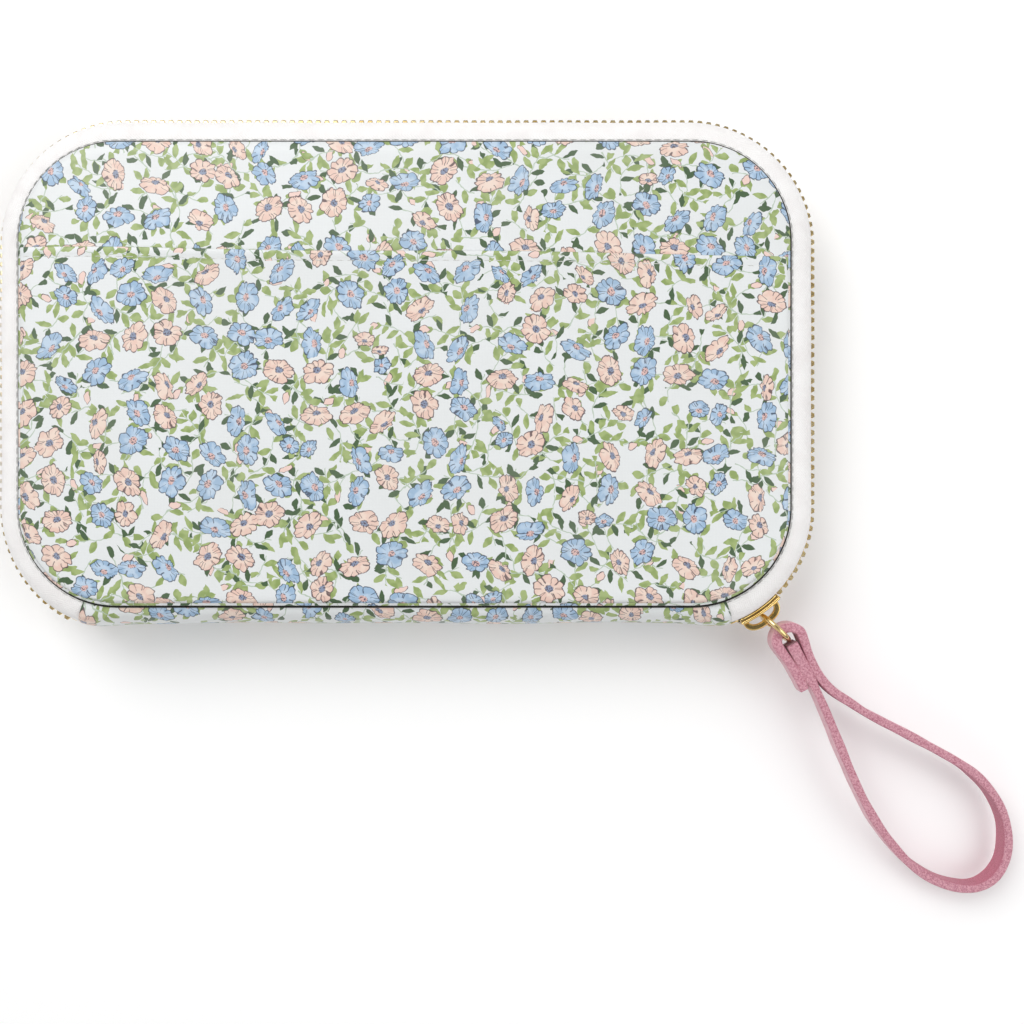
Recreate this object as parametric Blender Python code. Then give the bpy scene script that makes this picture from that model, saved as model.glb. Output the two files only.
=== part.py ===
"""Zip-around wristlet wallet: two padded covers joined by a fabric spine, a metal zip on the
other three sides, a slider with a split ring and a folded leather wrist strap.

The wallet lies on its back cover. +X runs along its length, +Y from the spine to the far
edge, +Z out of the front cover, and the origin is the middle of the back cover's outer face.
"""

from math import atan2, ceil, cos, floor, pi, radians, sin

import bmesh
import bpy
import numpy as np
from mathutils import Matrix, Vector

mm = 0.001

# Cover outline
cover_length = 221.2 * mm
cover_width = 132.8 * mm
corner_radius = 28.0 * mm
arc_step = 9.0  # degrees between the points of a corner

# Layers of a cover, and the air between two of them
canvas_thickness = 1.0 * mm
pocket_thickness = 0.8 * mm
stiffener_thickness = 1.2 * mm
lining_thickness = 0.6 * mm
layer_gap = 0.3 * mm
cavity_depth = 20.2 * mm
lining_inset = 0.6 * mm

# Outside slip pocket: its top edge falls a little from left to right
pocket_left_height = 102.2 * mm
pocket_right_height = 99.7 * mm

# Zip
tape_thickness = 0.6 * mm
seam_allowance = 5.0 * mm
board_margin = 0.7 * mm
tape_flare = 7.8 * mm
tape_upright = 2.0 * mm
tooth_depth = 2.2 * mm
tooth_reach = 1.9 * mm
row_clearance = 0.7 * mm
zip_right_end = -71.0
zip_left_end = 251.0
stop_angle = 3.0
bare_tape_angle = 1.5
gap_angle = 0.7
parking_angle = 1.0  # degrees between the parked slider and the first tooth over it
left_stop_top = 0.4 * mm
short_tape_angles = (80, 84)

# Spine gusset
gusset_thickness = 0.8 * mm
gusset_bulge = 6.1 * mm
spine_lining_bulge = 5.0 * mm
spine_lining_set_back = 1.0 * mm
spine_lining_inset = 2.4 * mm
hinge_overhang = 9.5 * mm
spine_end_angle = 1.0

# Slider, bail, ring
slider_length = 13.0 * mm
slider_plate = 0.8 * mm
slider_flange = 1.7 * mm
slider_angle = -54.7
slide_clearance = 0.3 * mm
slit_clearance = 0.25 * mm
post_length = 3.0 * mm
post_set_back = 1.0  # degrees from the slider's end
post_overlap = 0.2 * mm
bail_length = 12.4 * mm
bail_height = 4.1 * mm
bail_bar = 1.8 * mm
bail_thickness = 1.5 * mm
bail_lift = 0.1 * mm
ring_radius = 5.3 * mm
ring_wire = 1.5 * mm
ring_heading = -43.0

# Wrist strap
strap_thickness = 2.7 * mm
strap_width = 7.0 * mm
strap_heading = -62.0
fold_radius = 4.4 * mm
fold_clearance = 1.65 * mm  # air between the bail and the strap's fold

# Card side, inside the front cover: margins are from the cover's edge
card_side_margin = 13.6 * mm
card_foot_margin = 8.4 * mm
card_top_margin = 32.4 * mm
card_tiers = 4
card_step = 12.0 * mm
card_corner = 3.0 * mm
column_gap = 10.0 * mm
slot_thickness = 0.6 * mm
note_side_margin = 10.6 * mm
note_foot_margin = 6.4 * mm
note_top_margin = 20.4 * mm
note_corner = 16.0 * mm

# Coin side, inside the back cover: margins are from the cover's edge
coin_zip_margin = 38.4 * mm
coin_pocket_margin = 25.6 * mm
coin_foot_margin = 10.4 * mm
coin_pocket_corner = 3.0 * mm
coin_facing_width = 10.0 * mm
coin_mouth = 9.0 * mm
coin_zip_end_margin = 13.0 * mm
coin_tape_thickness = 0.4 * mm
coin_tape_width = 9.0 * mm
coin_tooth_depth = 1.6 * mm
coin_tooth_reach = 1.4 * mm
coin_row_clearance = 0.6 * mm
coin_stop_length = 2.0 * mm
coin_slider_length = 9.0 * mm
coin_slider_plate = 0.7 * mm
coin_slider_flange = 1.1 * mm
coin_slider_from_end = 9.0 * mm
coin_post_length = 2.0 * mm
coin_post_set_back = 0.6 * mm
coin_bail_height = 2.5 * mm
coin_bail_bar = 0.8 * mm
coin_bail_thickness = 1.2 * mm
coin_pull_length = 10.0 * mm
coin_pull_width = 5.0 * mm
coin_pull_bar = 0.9 * mm
coin_pull_hole_width = 2.8 * mm
coin_pull_clearance = 0.8 * mm
ticket_side_margin = 20.6 * mm
ticket_foot_margin = 8.4 * mm
ticket_below_zip = 20.0 * mm
ticket_corner = 6.0 * mm

# Heights worked out from the layers
back_stiffener_z = canvas_thickness + layer_gap
back_lining_z = back_stiffener_z + stiffener_thickness + layer_gap
cavity_floor = back_lining_z + lining_thickness
cavity_roof = cavity_floor + cavity_depth
front_stiffener_z = cavity_roof + lining_thickness + layer_gap
front_canvas_z = front_stiffener_z + stiffener_thickness + layer_gap
front_pocket_z = front_canvas_z + canvas_thickness + layer_gap
total_height = front_pocket_z + pocket_thickness
mid_z = total_height / 2
back_seam_z = back_stiffener_z + stiffener_thickness / 2
front_seam_z = front_stiffener_z + stiffener_thickness / 2

centre_x = cover_length / 2 - corner_radius
centre_y = cover_width / 2 - corner_radius
zip_radius = corner_radius + tape_flare
slider_half_angle = slider_length / 2 / zip_radius * 180 / pi
zip_corner = Vector((centre_x, -centre_y, mid_z))
cover_foot = -cover_width / 2
coin_zip_y = cover_width / 2 - coin_zip_margin
coin_pocket_length = cover_length - 2 * coin_pocket_margin
coin_half_span = coin_pocket_length / 2 - coin_zip_end_margin


def clear_scene():
    for item in list(bpy.data.objects):
        bpy.data.objects.remove(item)


def material(name, colour, roughness, metallic=0.0):
    made = bpy.data.materials.new(name)
    made.use_nodes = True
    shader = made.node_tree.nodes["Principled BSDF"]
    shader.inputs["Base Color"].default_value = (*colour, 1.0)
    shader.inputs["Roughness"].default_value = roughness
    shader.inputs["Metallic"].default_value = metallic
    return made


def add_solid(name, points, faces, surface, pivot=None, smooth=False):
    """A closed mesh from world points; it hangs from its pivot without moving."""
    mesh = bpy.data.meshes.new(name)
    mesh.from_pydata([tuple(point) for point in points], [], faces)
    shape = bmesh.new()
    shape.from_mesh(mesh)
    bmesh.ops.recalc_face_normals(shape, faces=shape.faces)
    shape.to_mesh(mesh)
    shape.free()
    mesh.materials.append(surface)
    if smooth:
        mesh.shade_smooth()
        mesh.set_sharp_from_angle(angle=radians(40))
    solid = bpy.data.objects.new(name, mesh)
    bpy.context.scene.collection.objects.link(solid)
    if pivot:
        mesh.transform(Matrix.Translation(-pivot["at"]))
        solid.parent = pivot["empty"]
    return solid


def add_pivot(name, at, parent=None):
    """An empty on a joint's axis. Its children are placed relative to it."""
    empty = bpy.data.objects.new(name, None)
    bpy.context.scene.collection.objects.link(empty)
    empty.location = at - parent["at"] if parent else at
    if parent:
        empty.parent = parent["empty"]
    return {"empty": empty, "at": Vector(at)}


def sweep(name, section, frames, surface, pivot=None, closed=False, smooth=False):
    """A section of (across, up) points carried along frames of (origin, across, up)."""
    sections = section if callable(section) else lambda index: section
    points = []
    for index, (origin, across, up) in enumerate(frames):
        points += [origin + across * a + up * b for a, b in sections(index)]
    count = len(sections(0))
    rings = len(frames)
    faces = []
    for ring in range(rings if closed else rings - 1):
        after = (ring + 1) % rings
        for side in range(count):
            following = (side + 1) % count
            faces.append(
                (
                    ring * count + side,
                    ring * count + following,
                    after * count + following,
                    after * count + side,
                )
            )
    if not closed:
        faces.append(tuple(range(count)))
        faces.append(tuple((rings - 1) * count + side for side in range(count)))
    return add_solid(name, points, faces, surface, pivot, smooth)


def prism(name, outline, low, high, surface, pivot=None):
    """A flat plate between two heights, from an outline of (x, y) points."""
    count = len(outline)
    points = [Vector((x, y, low)) for x, y in outline]
    points += [Vector((x, y, high)) for x, y in outline]
    faces = [tuple(range(count)), tuple(range(count, 2 * count))]
    for side in range(count):
        following = (side + 1) % count
        faces.append((side, following, count + following, count + side))
    return add_solid(name, points, faces, surface, pivot)


def rectangle(low_across, high_across, low_up, high_up):
    return [
        (low_across, low_up),
        (high_across, low_up),
        (high_across, high_up),
        (low_across, high_up),
    ]


def rounded_outline(length, width, radius, centre=(0.0, 0.0)):
    """A rectangle with round corners, counter-clockwise from its lower right corner."""
    points = []
    for turn, (side_x, side_y) in enumerate(((1, -1), (1, 1), (-1, 1), (-1, -1))):
        for step in range(int(90 / arc_step) + 1):
            angle = radians(90 * (turn - 1) + arc_step * step)
            points.append(
                (
                    centre[0] + side_x * (length / 2 - radius) + radius * cos(angle),
                    centre[1] + side_y * (width / 2 - radius) + radius * sin(angle),
                )
            )
    return points


def cover_outline(inset=0.0):
    return rounded_outline(
        cover_length - 2 * inset, cover_width - 2 * inset, corner_radius - inset
    )


def edge_angles(start, end):
    """Angles round the cover's edge; a straight side lies between two equal multiples of 90."""
    first = ceil(start / arc_step + 1e-6)
    last = floor(end / arc_step - 1e-6)
    inner = [arc_step * step for step in range(first, last + 1)]
    angles = [(start, floor(start / 90 + 1))]
    for angle in inner:
        if angle % 90 == 0:
            angles.append((angle, int(angle // 90)))
        angles.append((angle, floor(angle / 90 + 1)))
    angles.append((end, ceil(end / 90)))
    return angles


def edge_frames(start, end):
    """Frames round the cover's edge at the zip's height, across pointing outward."""
    sides = ((1, -1), (1, 1), (-1, 1), (-1, -1))
    frames = []
    for angle, corner in edge_angles(start, end):
        side_x, side_y = sides[corner % 4]
        outward = Vector((cos(radians(angle)), sin(radians(angle)), 0))
        centre = Vector((side_x * centre_x, side_y * centre_y, mid_z))
        frames.append((centre + outward * corner_radius, outward, Vector((0, 0, 1))))
    return frames


def straight_frames(start_x, end_x, y, z):
    """Two frames along X, across pointing up out of the back cover."""
    return [
        (Vector((x, y, z)), Vector((0, 0, 1)), Vector((0, 1, 0))) for x in (start_x, end_x)
    ]


def band(line, thickness):
    """The outline of an even band about a centre line of (across, up) points."""
    line = np.array(line)
    along = np.gradient(line, axis=0)
    along /= np.linalg.norm(along, axis=1)[:, None]
    normal = np.stack([-along[:, 1], along[:, 0]], axis=1) * thickness / 2
    return [tuple(point) for point in np.concatenate([line + normal, (line - normal)[::-1]])]


def arch_outline(length, height, bar):
    """A flat arch of (along, out) points, standing on two feet."""
    points = []
    for half_length, rise in ((length / 2, height), (length / 2 - bar, height - bar)):
        sides = []
        for step in range(15):
            angle = pi * step / 14
            along = half_length * np.sign(cos(angle)) * abs(cos(angle)) ** 0.8
            sides.append((along, rise * abs(sin(angle)) ** 0.8))
        points += sides if not points else sides[::-1]
    return points


def slider_sections(tooth_half, row_outer, flange, plate, slit):
    """The outer and inner halves of a slider's body, as (across, up) sections."""
    inside = tooth_half + slide_clearance
    outside = inside + plate
    channel = row_outer + slide_clearance
    edge = channel + flange
    half = [
        (slit, edge),
        (outside, edge),
        (outside, -edge),
        (slit, -edge),
        (slit, -channel),
        (inside, -channel),
        (inside, channel),
        (slit, channel),
    ]
    return half, [(-across, up) for across, up in half], inside


def slider_body(name, halves, post_half, frames, post_frames, surface, pivot):
    """Two plates over the zip's rows, joined by the post that parts the rows."""
    outer, inner, inside = halves
    body = sweep(name, outer, frames, surface, pivot, smooth=True)
    overlap = inside + post_overlap
    helpers = (
        sweep(name + "_inner", inner, frames, surface, pivot),
        sweep(
            name + "_post",
            rectangle(-overlap, overlap, -post_half, post_half),
            post_frames,
            surface,
            pivot,
        ),
    )
    for helper in helpers:
        helper.hide_render = True
        helper.display_type = "WIRE"
        union = body.modifiers.new(helper.name, "BOOLEAN")
        union.operation = "UNION"
        union.object = helper
    for helper in helpers:
        helper.hide_set(True)
    return body


def add_covers(hinge, surfaces):
    """Outer canvas, stiffener and lining of each cover, and the outside pocket."""
    seam_inset = seam_allowance + layer_gap + board_margin
    layers = (
        ("panel", 0.0, canvas_thickness, (0.0, front_canvas_z), "canvas"),
        (
            "stiffener",
            seam_inset,
            stiffener_thickness,
            (back_stiffener_z, front_stiffener_z),
            "board",
        ),
        ("lining", lining_inset, lining_thickness, (back_lining_z, cavity_roof), "lining"),
    )
    for word, inset, thickness, heights, surface in layers:
        for side, low, pivot in zip(("back", "front"), heights, (None, hinge)):
            outline = cover_outline(inset)
            prism(f"{side}_{word}", outline, low, low + thickness, surfaces[surface], pivot)
    per_corner = int(90 / arc_step) + 1
    outline = cover_outline()
    pocket = outline[:per_corner]
    pocket.append((cover_length / 2, pocket_right_height - cover_width / 2))
    pocket.append((-cover_length / 2, pocket_left_height - cover_width / 2))
    pocket += outline[3 * per_corner :]
    prism(
        "front_pocket", pocket, front_pocket_z, total_height, surfaces["canvas"], hinge
    )


def tape_line(seam_z, last_angles):
    """The tape's centre line: flat in the seam, round the shoulder, upright at the teeth."""
    rise = abs(mid_z - seam_z)
    side = 1 if seam_z > mid_z else -1
    upright_foot = row_clearance + tooth_reach + layer_gap
    shoulder = upright_foot + tape_upright
    line = [(-seam_allowance, side * rise), (0.0, side * rise)]
    for degrees in (18, 36, 54, 72, *last_angles):
        turn = radians(degrees)
        height = shoulder + (rise - shoulder) * cos(turn)
        line.append((tape_flare * sin(turn), side * height))
    if len(last_angles) == 1:
        line.append((tape_flare, side * upright_foot))
    return line


def add_zip(hinge, surfaces):
    """Tape and teeth of both covers, and a stop at each end."""
    slider_end = slider_angle + slider_half_angle + parking_angle
    back_tape = band(tape_line(back_seam_z, (90,)), tape_thickness)
    frames = edge_frames(zip_right_end, zip_left_end)
    sweep("back_zip_tape", back_tape, frames, surfaces["tape"])

    # The front tape stands back from the slider's parking place, so that the cover lifts.
    full = band(tape_line(front_seam_z, (90,)), tape_thickness)
    short = band(tape_line(front_seam_z, short_tape_angles), tape_thickness)
    parked = edge_frames(zip_right_end, slider_end - gap_angle)
    free = edge_frames(slider_end, zip_left_end)
    sweep(
        "front_zip_tape",
        lambda index: short if index < len(parked) else full,
        parked + free,
        surfaces["tape"],
        hinge,
    )

    tooth_low = tape_flare - tooth_depth / 2
    tooth_high = tape_flare + tooth_depth / 2
    outer = row_clearance + tooth_reach
    right_stop = zip_right_end + bare_tape_angle
    left_stop = zip_left_end - bare_tape_angle
    rows_start = right_stop + stop_angle + gap_angle
    rows_end = left_stop - stop_angle - gap_angle
    back_row = rectangle(tooth_low, tooth_high, -outer, -row_clearance)
    sweep("back_zip_teeth", back_row, edge_frames(rows_start, rows_end), surfaces["brass"])
    front_row = rectangle(tooth_low, tooth_high, row_clearance, outer)
    sweep(
        "front_zip_teeth",
        front_row,
        edge_frames(slider_end, rows_end),
        surfaces["brass"],
        hinge,
    )
    stop = rectangle(tooth_low, tooth_high, -outer, outer)
    right = edge_frames(right_stop, right_stop + stop_angle)
    sweep("zip_end_stop_right", stop, right, surfaces["brass"])
    left = edge_frames(left_stop - stop_angle, left_stop)
    low_stop = rectangle(tooth_low, tooth_high, -outer, left_stop_top)
    sweep("zip_end_stop_left", low_stop, left, surfaces["brass"])


def add_spine(surfaces):
    """The gusset that joins the covers along the bottom, and its lining."""
    seam_middle = (back_seam_z + front_seam_z) / 2 - mid_z
    half_height = (front_seam_z - back_seam_z) / 2
    outer_line = [(-seam_allowance, seam_middle - half_height)]
    inner_line = []
    for step in range(13):
        angle = pi * step / 12
        height = seam_middle - half_height * cos(angle)
        outer_line.append((gusset_bulge * sin(angle), height))
        inner_height = seam_middle - (half_height - spine_lining_inset) * cos(angle)
        reach = (spine_lining_bulge + spine_lining_set_back) * sin(angle)
        reach -= spine_lining_set_back
        inner_line.append((reach, inner_height))
    outer_line.append((-seam_allowance, seam_middle + half_height))
    frames = edge_frames(zip_left_end + spine_end_angle, 360 + zip_right_end - spine_end_angle)
    sweep(
        "spine_gusset",
        band(outer_line, gusset_thickness),
        frames,
        surfaces["canvas"],
        smooth=True,
    )
    sweep(
        "spine_lining",
        band(inner_line, lining_thickness),
        frames,
        surfaces["lining"],
        smooth=True,
    )


def add_slider(surfaces):
    """The slider on its corner of the zip, with its bail. Returns its pivot and sizes."""
    pivot = add_pivot("slider_pivot", zip_corner)
    halves = slider_sections(
        tooth_depth / 2,
        row_clearance + tooth_reach,
        slider_flange,
        slider_plate,
        tape_thickness / 2 + slit_clearance,
    )
    start = slider_angle - slider_half_angle
    end = slider_angle + slider_half_angle
    marks = [start + (end - start) * step / 4 for step in range(5)]
    frames = []
    for angle in marks:
        outward = Vector((cos(radians(angle)), sin(radians(angle)), 0))
        frames.append((zip_corner + outward * zip_radius, outward, Vector((0, 0, 1))))
    post_angle = post_length / zip_radius * 180 / pi
    post_frames = []
    for angle in (start + post_set_back, start + post_set_back + post_angle):
        outward = Vector((cos(radians(angle)), sin(radians(angle)), 0))
        post_frames.append((zip_corner + outward * zip_radius, outward, Vector((0, 0, 1))))
    post_half = row_clearance - slide_clearance
    slider_body(
        "slider_body", halves, post_half, frames, post_frames, surfaces["brass"], pivot
    )

    face = zip_radius + tooth_depth / 2 + slide_clearance + slider_plate
    outward = Vector((cos(radians(slider_angle)), sin(radians(slider_angle)), 0))
    along = Vector((-outward.y, outward.x, 0))
    foot = zip_corner + outward * (face + layer_gap + bail_lift)
    arch = arch_outline(bail_length, bail_height, bail_bar)
    levels = [
        (foot + Vector((0, 0, height)), along, outward)
        for height in (-bail_thickness / 2, bail_thickness / 2)
    ]
    sweep("slider_bail", arch, levels, surfaces["brass"], pivot)
    hole_centre = zip_corner + outward * (face + layer_gap / 2 + (bail_height - bail_bar) / 2)
    bar_centre = foot + outward * (bail_height - bail_bar / 2)
    return pivot, hole_centre, bar_centre


def add_ring(slider_pivot, hole_centre, bar_centre, surfaces):
    """The split ring, standing upright through the bail, and the point that the strap hangs on.

    With a small ring the strap's fold hangs a little past the ring's far side, clear of the bail.
    """
    pivot = add_pivot("ring_pivot", bar_centre, slider_pivot)
    heading = Vector((cos(radians(ring_heading)), sin(radians(ring_heading)), 0))
    centre = hole_centre + heading * ring_radius
    frames = []
    for step in range(32):
        angle = 2 * pi * step / 32
        outward = heading * cos(angle) + Vector((0, 0, sin(angle)))
        sideways = heading.cross(Vector((0, 0, 1)))
        frames.append((centre + outward * ring_radius, outward, sideways))
    wire = [
        (ring_wire / 2 * cos(2 * pi * step / 8), ring_wire / 2 * sin(2 * pi * step / 8))
        for step in range(8)
    ]
    sweep("jump_ring", wire, frames, surfaces["brass"], pivot, closed=True, smooth=True)
    bail_reach = (bar_centre - hole_centre).length + bail_bar / 2
    fold_reach = bail_reach + fold_radius + strap_thickness / 2 + fold_clearance
    return pivot, hole_centre + heading * max(2 * ring_radius, fold_reach)


def strap_route():
    """The strap's centre line as (along, across) from the ring, in metres.

    It starts at the cut end inside the fold, goes round the hand loop, comes back, turns
    over the ring and ends outside.
    """
    outgoing = (
        (2.0, 0.0), (9.0, 0.0), (18.0, 0.1), (27.0, -0.3), (37.0, -1.1), (47.0, -1.8),
        (56.0, -2.0), (64.0, -1.5), (72.0, -0.1), (79.5, 2.1), (86.4, 5.8), (91.8, 10.7),
        (95.2, 16.4), (95.2, 22.4), (91.8, 27.9), (85.7, 31.8), (78.8, 33.7), (71.3, 33.6),
        (64.2, 31.8), (57.6, 28.6), (44.4, 20.0), (31.6, 11.2), (25.8, 7.9), (19.7, 4.9),
        (13.5, 3.35), (7.0, 4.1),
    )  # fmt: skip
    fold = [
        (-fold_radius / mm * sin(pi * step / 6), fold_radius / mm * cos(pi * step / 6))
        for step in range(7)
    ]
    ending = ((7.0, -3.75), (12.0, -3.2), (15.4, -3.1))
    knots = np.array([*outgoing, *fold, *ending]) * mm
    padded = np.vstack([2 * knots[0] - knots[1], knots, 2 * knots[-1] - knots[-2]])
    route = []
    for first, start, end, last in zip(padded, padded[1:], padded[2:], padded[3:]):
        for share in (0.0, 0.5):
            bend = (2 * first - 5 * start + 4 * end - last) * share**2
            twist = (3 * start - first - 3 * end + last) * share**3
            route.append(0.5 * (2 * start + (end - first) * share + bend + twist))
    return np.array([*route, knots[-1]])


def add_strap(ring_pivot, hang_point, surfaces):
    """A leather strip on its edge: it slopes down from the ring to lie on the table."""
    pivot = add_pivot("strap_pivot", hang_point, ring_pivot)
    heading = Vector((cos(radians(strap_heading)), sin(radians(strap_heading)), 0))
    aside = Vector((-heading.y, heading.x, 0))
    route = strap_route()
    directions = np.gradient(route, axis=0)
    slope = (hang_point.z - strap_width / 2) / route[:, 0].max()
    frames = []
    for (along, across), (step_along, step_across) in zip(route, directions):
        place = hang_point + heading * along + aside * across
        place.z = hang_point.z - max(along, 0.0) * slope
        turn = atan2(step_across, step_along)
        normal = -heading * sin(turn) + aside * cos(turn)
        frames.append((place, normal, Vector((0, 0, 1))))
    section = rectangle(
        -strap_thickness / 2, strap_thickness / 2, -strap_width / 2, strap_width / 2
    )
    sweep("wrist_strap", section, frames, surfaces["leather"], pivot)


def pocket(name, low, high, corner, low_z, thickness, surface, pivot=None):
    """A flat pocket between two (x, y) corners."""
    middle = ((low[0] + high[0]) / 2, (low[1] + high[1]) / 2)
    outline = rounded_outline(high[0] - low[0], high[1] - low[1], corner, middle)
    prism(name, outline, low_z, low_z + thickness, surface, pivot)


def add_card_side(hinge, surfaces):
    """A full note pocket under two columns of stepped card slots."""
    half_length = cover_length / 2 - note_side_margin
    low_z = cavity_roof - layer_gap - slot_thickness
    low = (-half_length, cover_foot + note_foot_margin)
    high = (half_length, cover_width / 2 - note_top_margin)
    pocket("note_pocket", low, high, note_corner, low_z, slot_thickness, surfaces["lining"], hinge)
    near = column_gap / 2
    far = cover_length / 2 - card_side_margin
    foot = cover_foot + card_foot_margin
    for column, (left, right) in (("left", (-far, -near)), ("right", (near, far))):
        for tier in range(card_tiers):
            top = cover_width / 2 - card_top_margin - tier * card_step
            tier_z = low_z - (tier + 1) * (slot_thickness + layer_gap)
            name = f"card_slot_{column}_{tier + 1}"
            size = (card_corner, tier_z, slot_thickness)
            pocket(name, (left, foot), (right, top), *size, surfaces["lining"], hinge)


def add_coin_side(surfaces):
    """A zipped coin pocket with a ticket pocket over it, on the back cover."""
    half_stack = coin_tooth_depth / 2 + slide_clearance + coin_slider_plate
    zip_z = cavity_floor + 2 * layer_gap + half_stack
    panel_z = zip_z + coin_tape_thickness / 2 + layer_gap
    half_length = coin_pocket_length / 2
    mouth_low = coin_zip_y - coin_mouth / 2
    mouth_high = coin_zip_y + coin_mouth / 2
    for name, low, high in (
        ("coin_pocket_panel", cover_foot + coin_foot_margin, mouth_low),
        ("coin_pocket_facing", mouth_high, mouth_high + coin_facing_width),
    ):
        size = (coin_pocket_corner, panel_z, pocket_thickness)
        pocket(name, (-half_length, low), (half_length, high), *size, surfaces["lining"])

    outer = coin_row_clearance + coin_tooth_reach
    tape_start = outer + layer_gap
    half_tooth = coin_tooth_depth / 2
    rows = straight_frames(-coin_half_span, coin_half_span, coin_zip_y, zip_z)
    for side, name in ((-1, "lower"), (1, "upper")):
        reach = sorted((side * tape_start, side * (tape_start + coin_tape_width)))
        tape = rectangle(-coin_tape_thickness / 2, coin_tape_thickness / 2, *reach)
        sweep(f"coin_zip_tape_{name}", tape, rows, surfaces["tape"])
        reach = sorted((side * coin_row_clearance, side * outer))
        teeth = rectangle(-half_tooth, half_tooth, *reach)
        sweep(f"coin_zip_teeth_{name}", teeth, rows, surfaces["brass"])
    stop_start = coin_half_span + layer_gap
    for side, name in ((-1, "left"), (1, "right")):
        ends = sorted((side * stop_start, side * (stop_start + coin_stop_length)))
        stop = rectangle(-half_tooth, half_tooth, -outer, outer)
        frames = straight_frames(*ends, coin_zip_y, zip_z)
        sweep(f"coin_zip_stop_{name}", stop, frames, surfaces["brass"])

    ticket_z = panel_z + pocket_thickness + layer_gap
    half_length = cover_length / 2 - ticket_side_margin
    low = (-half_length, cover_foot + ticket_foot_margin)
    high = (half_length, coin_zip_y - ticket_below_zip)
    pocket("ticket_pocket", low, high, ticket_corner, ticket_z, slot_thickness, surfaces["lining"])
    return zip_z


def add_coin_slider(zip_z, surfaces):
    """The coin pocket's slider, its bail and its pull."""
    at = Vector((coin_half_span - coin_slider_from_end, coin_zip_y, zip_z))
    pivot = add_pivot("coin_slider_pivot", at)
    halves = slider_sections(
        coin_tooth_depth / 2,
        coin_row_clearance + coin_tooth_reach,
        coin_slider_flange,
        coin_slider_plate,
        coin_tape_thickness / 2 + slit_clearance,
    )
    half = coin_slider_length / 2
    body = straight_frames(at.x - half, at.x + half, at.y, at.z)
    post_end = at.x + half - coin_post_set_back
    post = straight_frames(post_end - coin_post_length, post_end, at.y, at.z)
    post_half = coin_row_clearance - slide_clearance
    slider_body("coin_slider_body", halves, post_half, body, post, surfaces["brass"], pivot)

    face = at.z + coin_tooth_depth / 2 + slide_clearance + coin_slider_plate
    foot = Vector((at.x, at.y, face + layer_gap))
    arch = arch_outline(coin_slider_length, coin_bail_height, coin_bail_bar)
    levels = []
    for side in (-1, 1):
        edge = foot + Vector((0, side * coin_bail_thickness / 2, 0))
        levels.append((edge, Vector((1, 0, 0)), Vector((0, 0, 1))))
    sweep("coin_slider_bail", arch, levels, surfaces["brass"], pivot)

    hole = (coin_bail_height - coin_bail_bar + layer_gap) / 2
    pull_at = Vector((at.x, at.y, face + hole))
    pull_pivot = add_pivot("coin_pull_pivot", pull_at, pivot)
    half_bar = coin_pull_bar / 2
    hole_end = -(coin_slider_length / 2 + coin_pull_clearance)
    half_hole = coin_pull_hole_width / 2
    outer = rectangle(-coin_pull_length, half_bar, -coin_pull_width / 2, coin_pull_width / 2)
    inner = rectangle(hole_end, -half_bar, -half_hole, half_hole)
    points = []
    for height in (-half_bar, half_bar):
        for loop in (outer, inner):
            points += [pull_at + Vector((x, y, height)) for x, y in loop]
    faces = []
    for side in range(4):
        after = (side + 1) % 4
        faces.append((side, after, 4 + after, 4 + side))
        faces.append((8 + side, 8 + after, 12 + after, 12 + side))
        faces.append((side, after, 8 + after, 8 + side))
        faces.append((4 + side, 4 + after, 12 + after, 12 + side))
    add_solid("coin_pull", points, faces, surfaces["brass"], pull_pivot)


def main():
    clear_scene()
    surfaces = {
        "canvas": material("coated_canvas", (0.80, 0.83, 0.85), 0.45),
        "board": material("stiffener_board", (0.62, 0.60, 0.56), 0.9),
        "lining": material("lining_cloth", (0.80, 0.77, 0.72), 0.85),
        "tape": material("zip_tape", (0.90, 0.89, 0.86), 0.9),
        "brass": material("gold_plated_brass", (0.83, 0.62, 0.27), 0.22, 1.0),
        "leather": material("pink_leather", (0.62, 0.22, 0.34), 0.6),
    }
    hinge_at = Vector((0, -cover_width / 2 - hinge_overhang, mid_z))
    hinge = add_pivot("front_cover_hinge", hinge_at)
    add_covers(hinge, surfaces)
    add_zip(hinge, surfaces)
    add_spine(surfaces)
    slider_pivot, hole_centre, bar_centre = add_slider(surfaces)
    ring_pivot, hang_point = add_ring(slider_pivot, hole_centre, bar_centre, surfaces)
    add_strap(ring_pivot, hang_point, surfaces)
    add_card_side(hinge, surfaces)
    zip_z = add_coin_side(surfaces)
    add_coin_slider(zip_z, surfaces)


main()
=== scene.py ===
from functools import partial
from math import pi, radians

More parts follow.
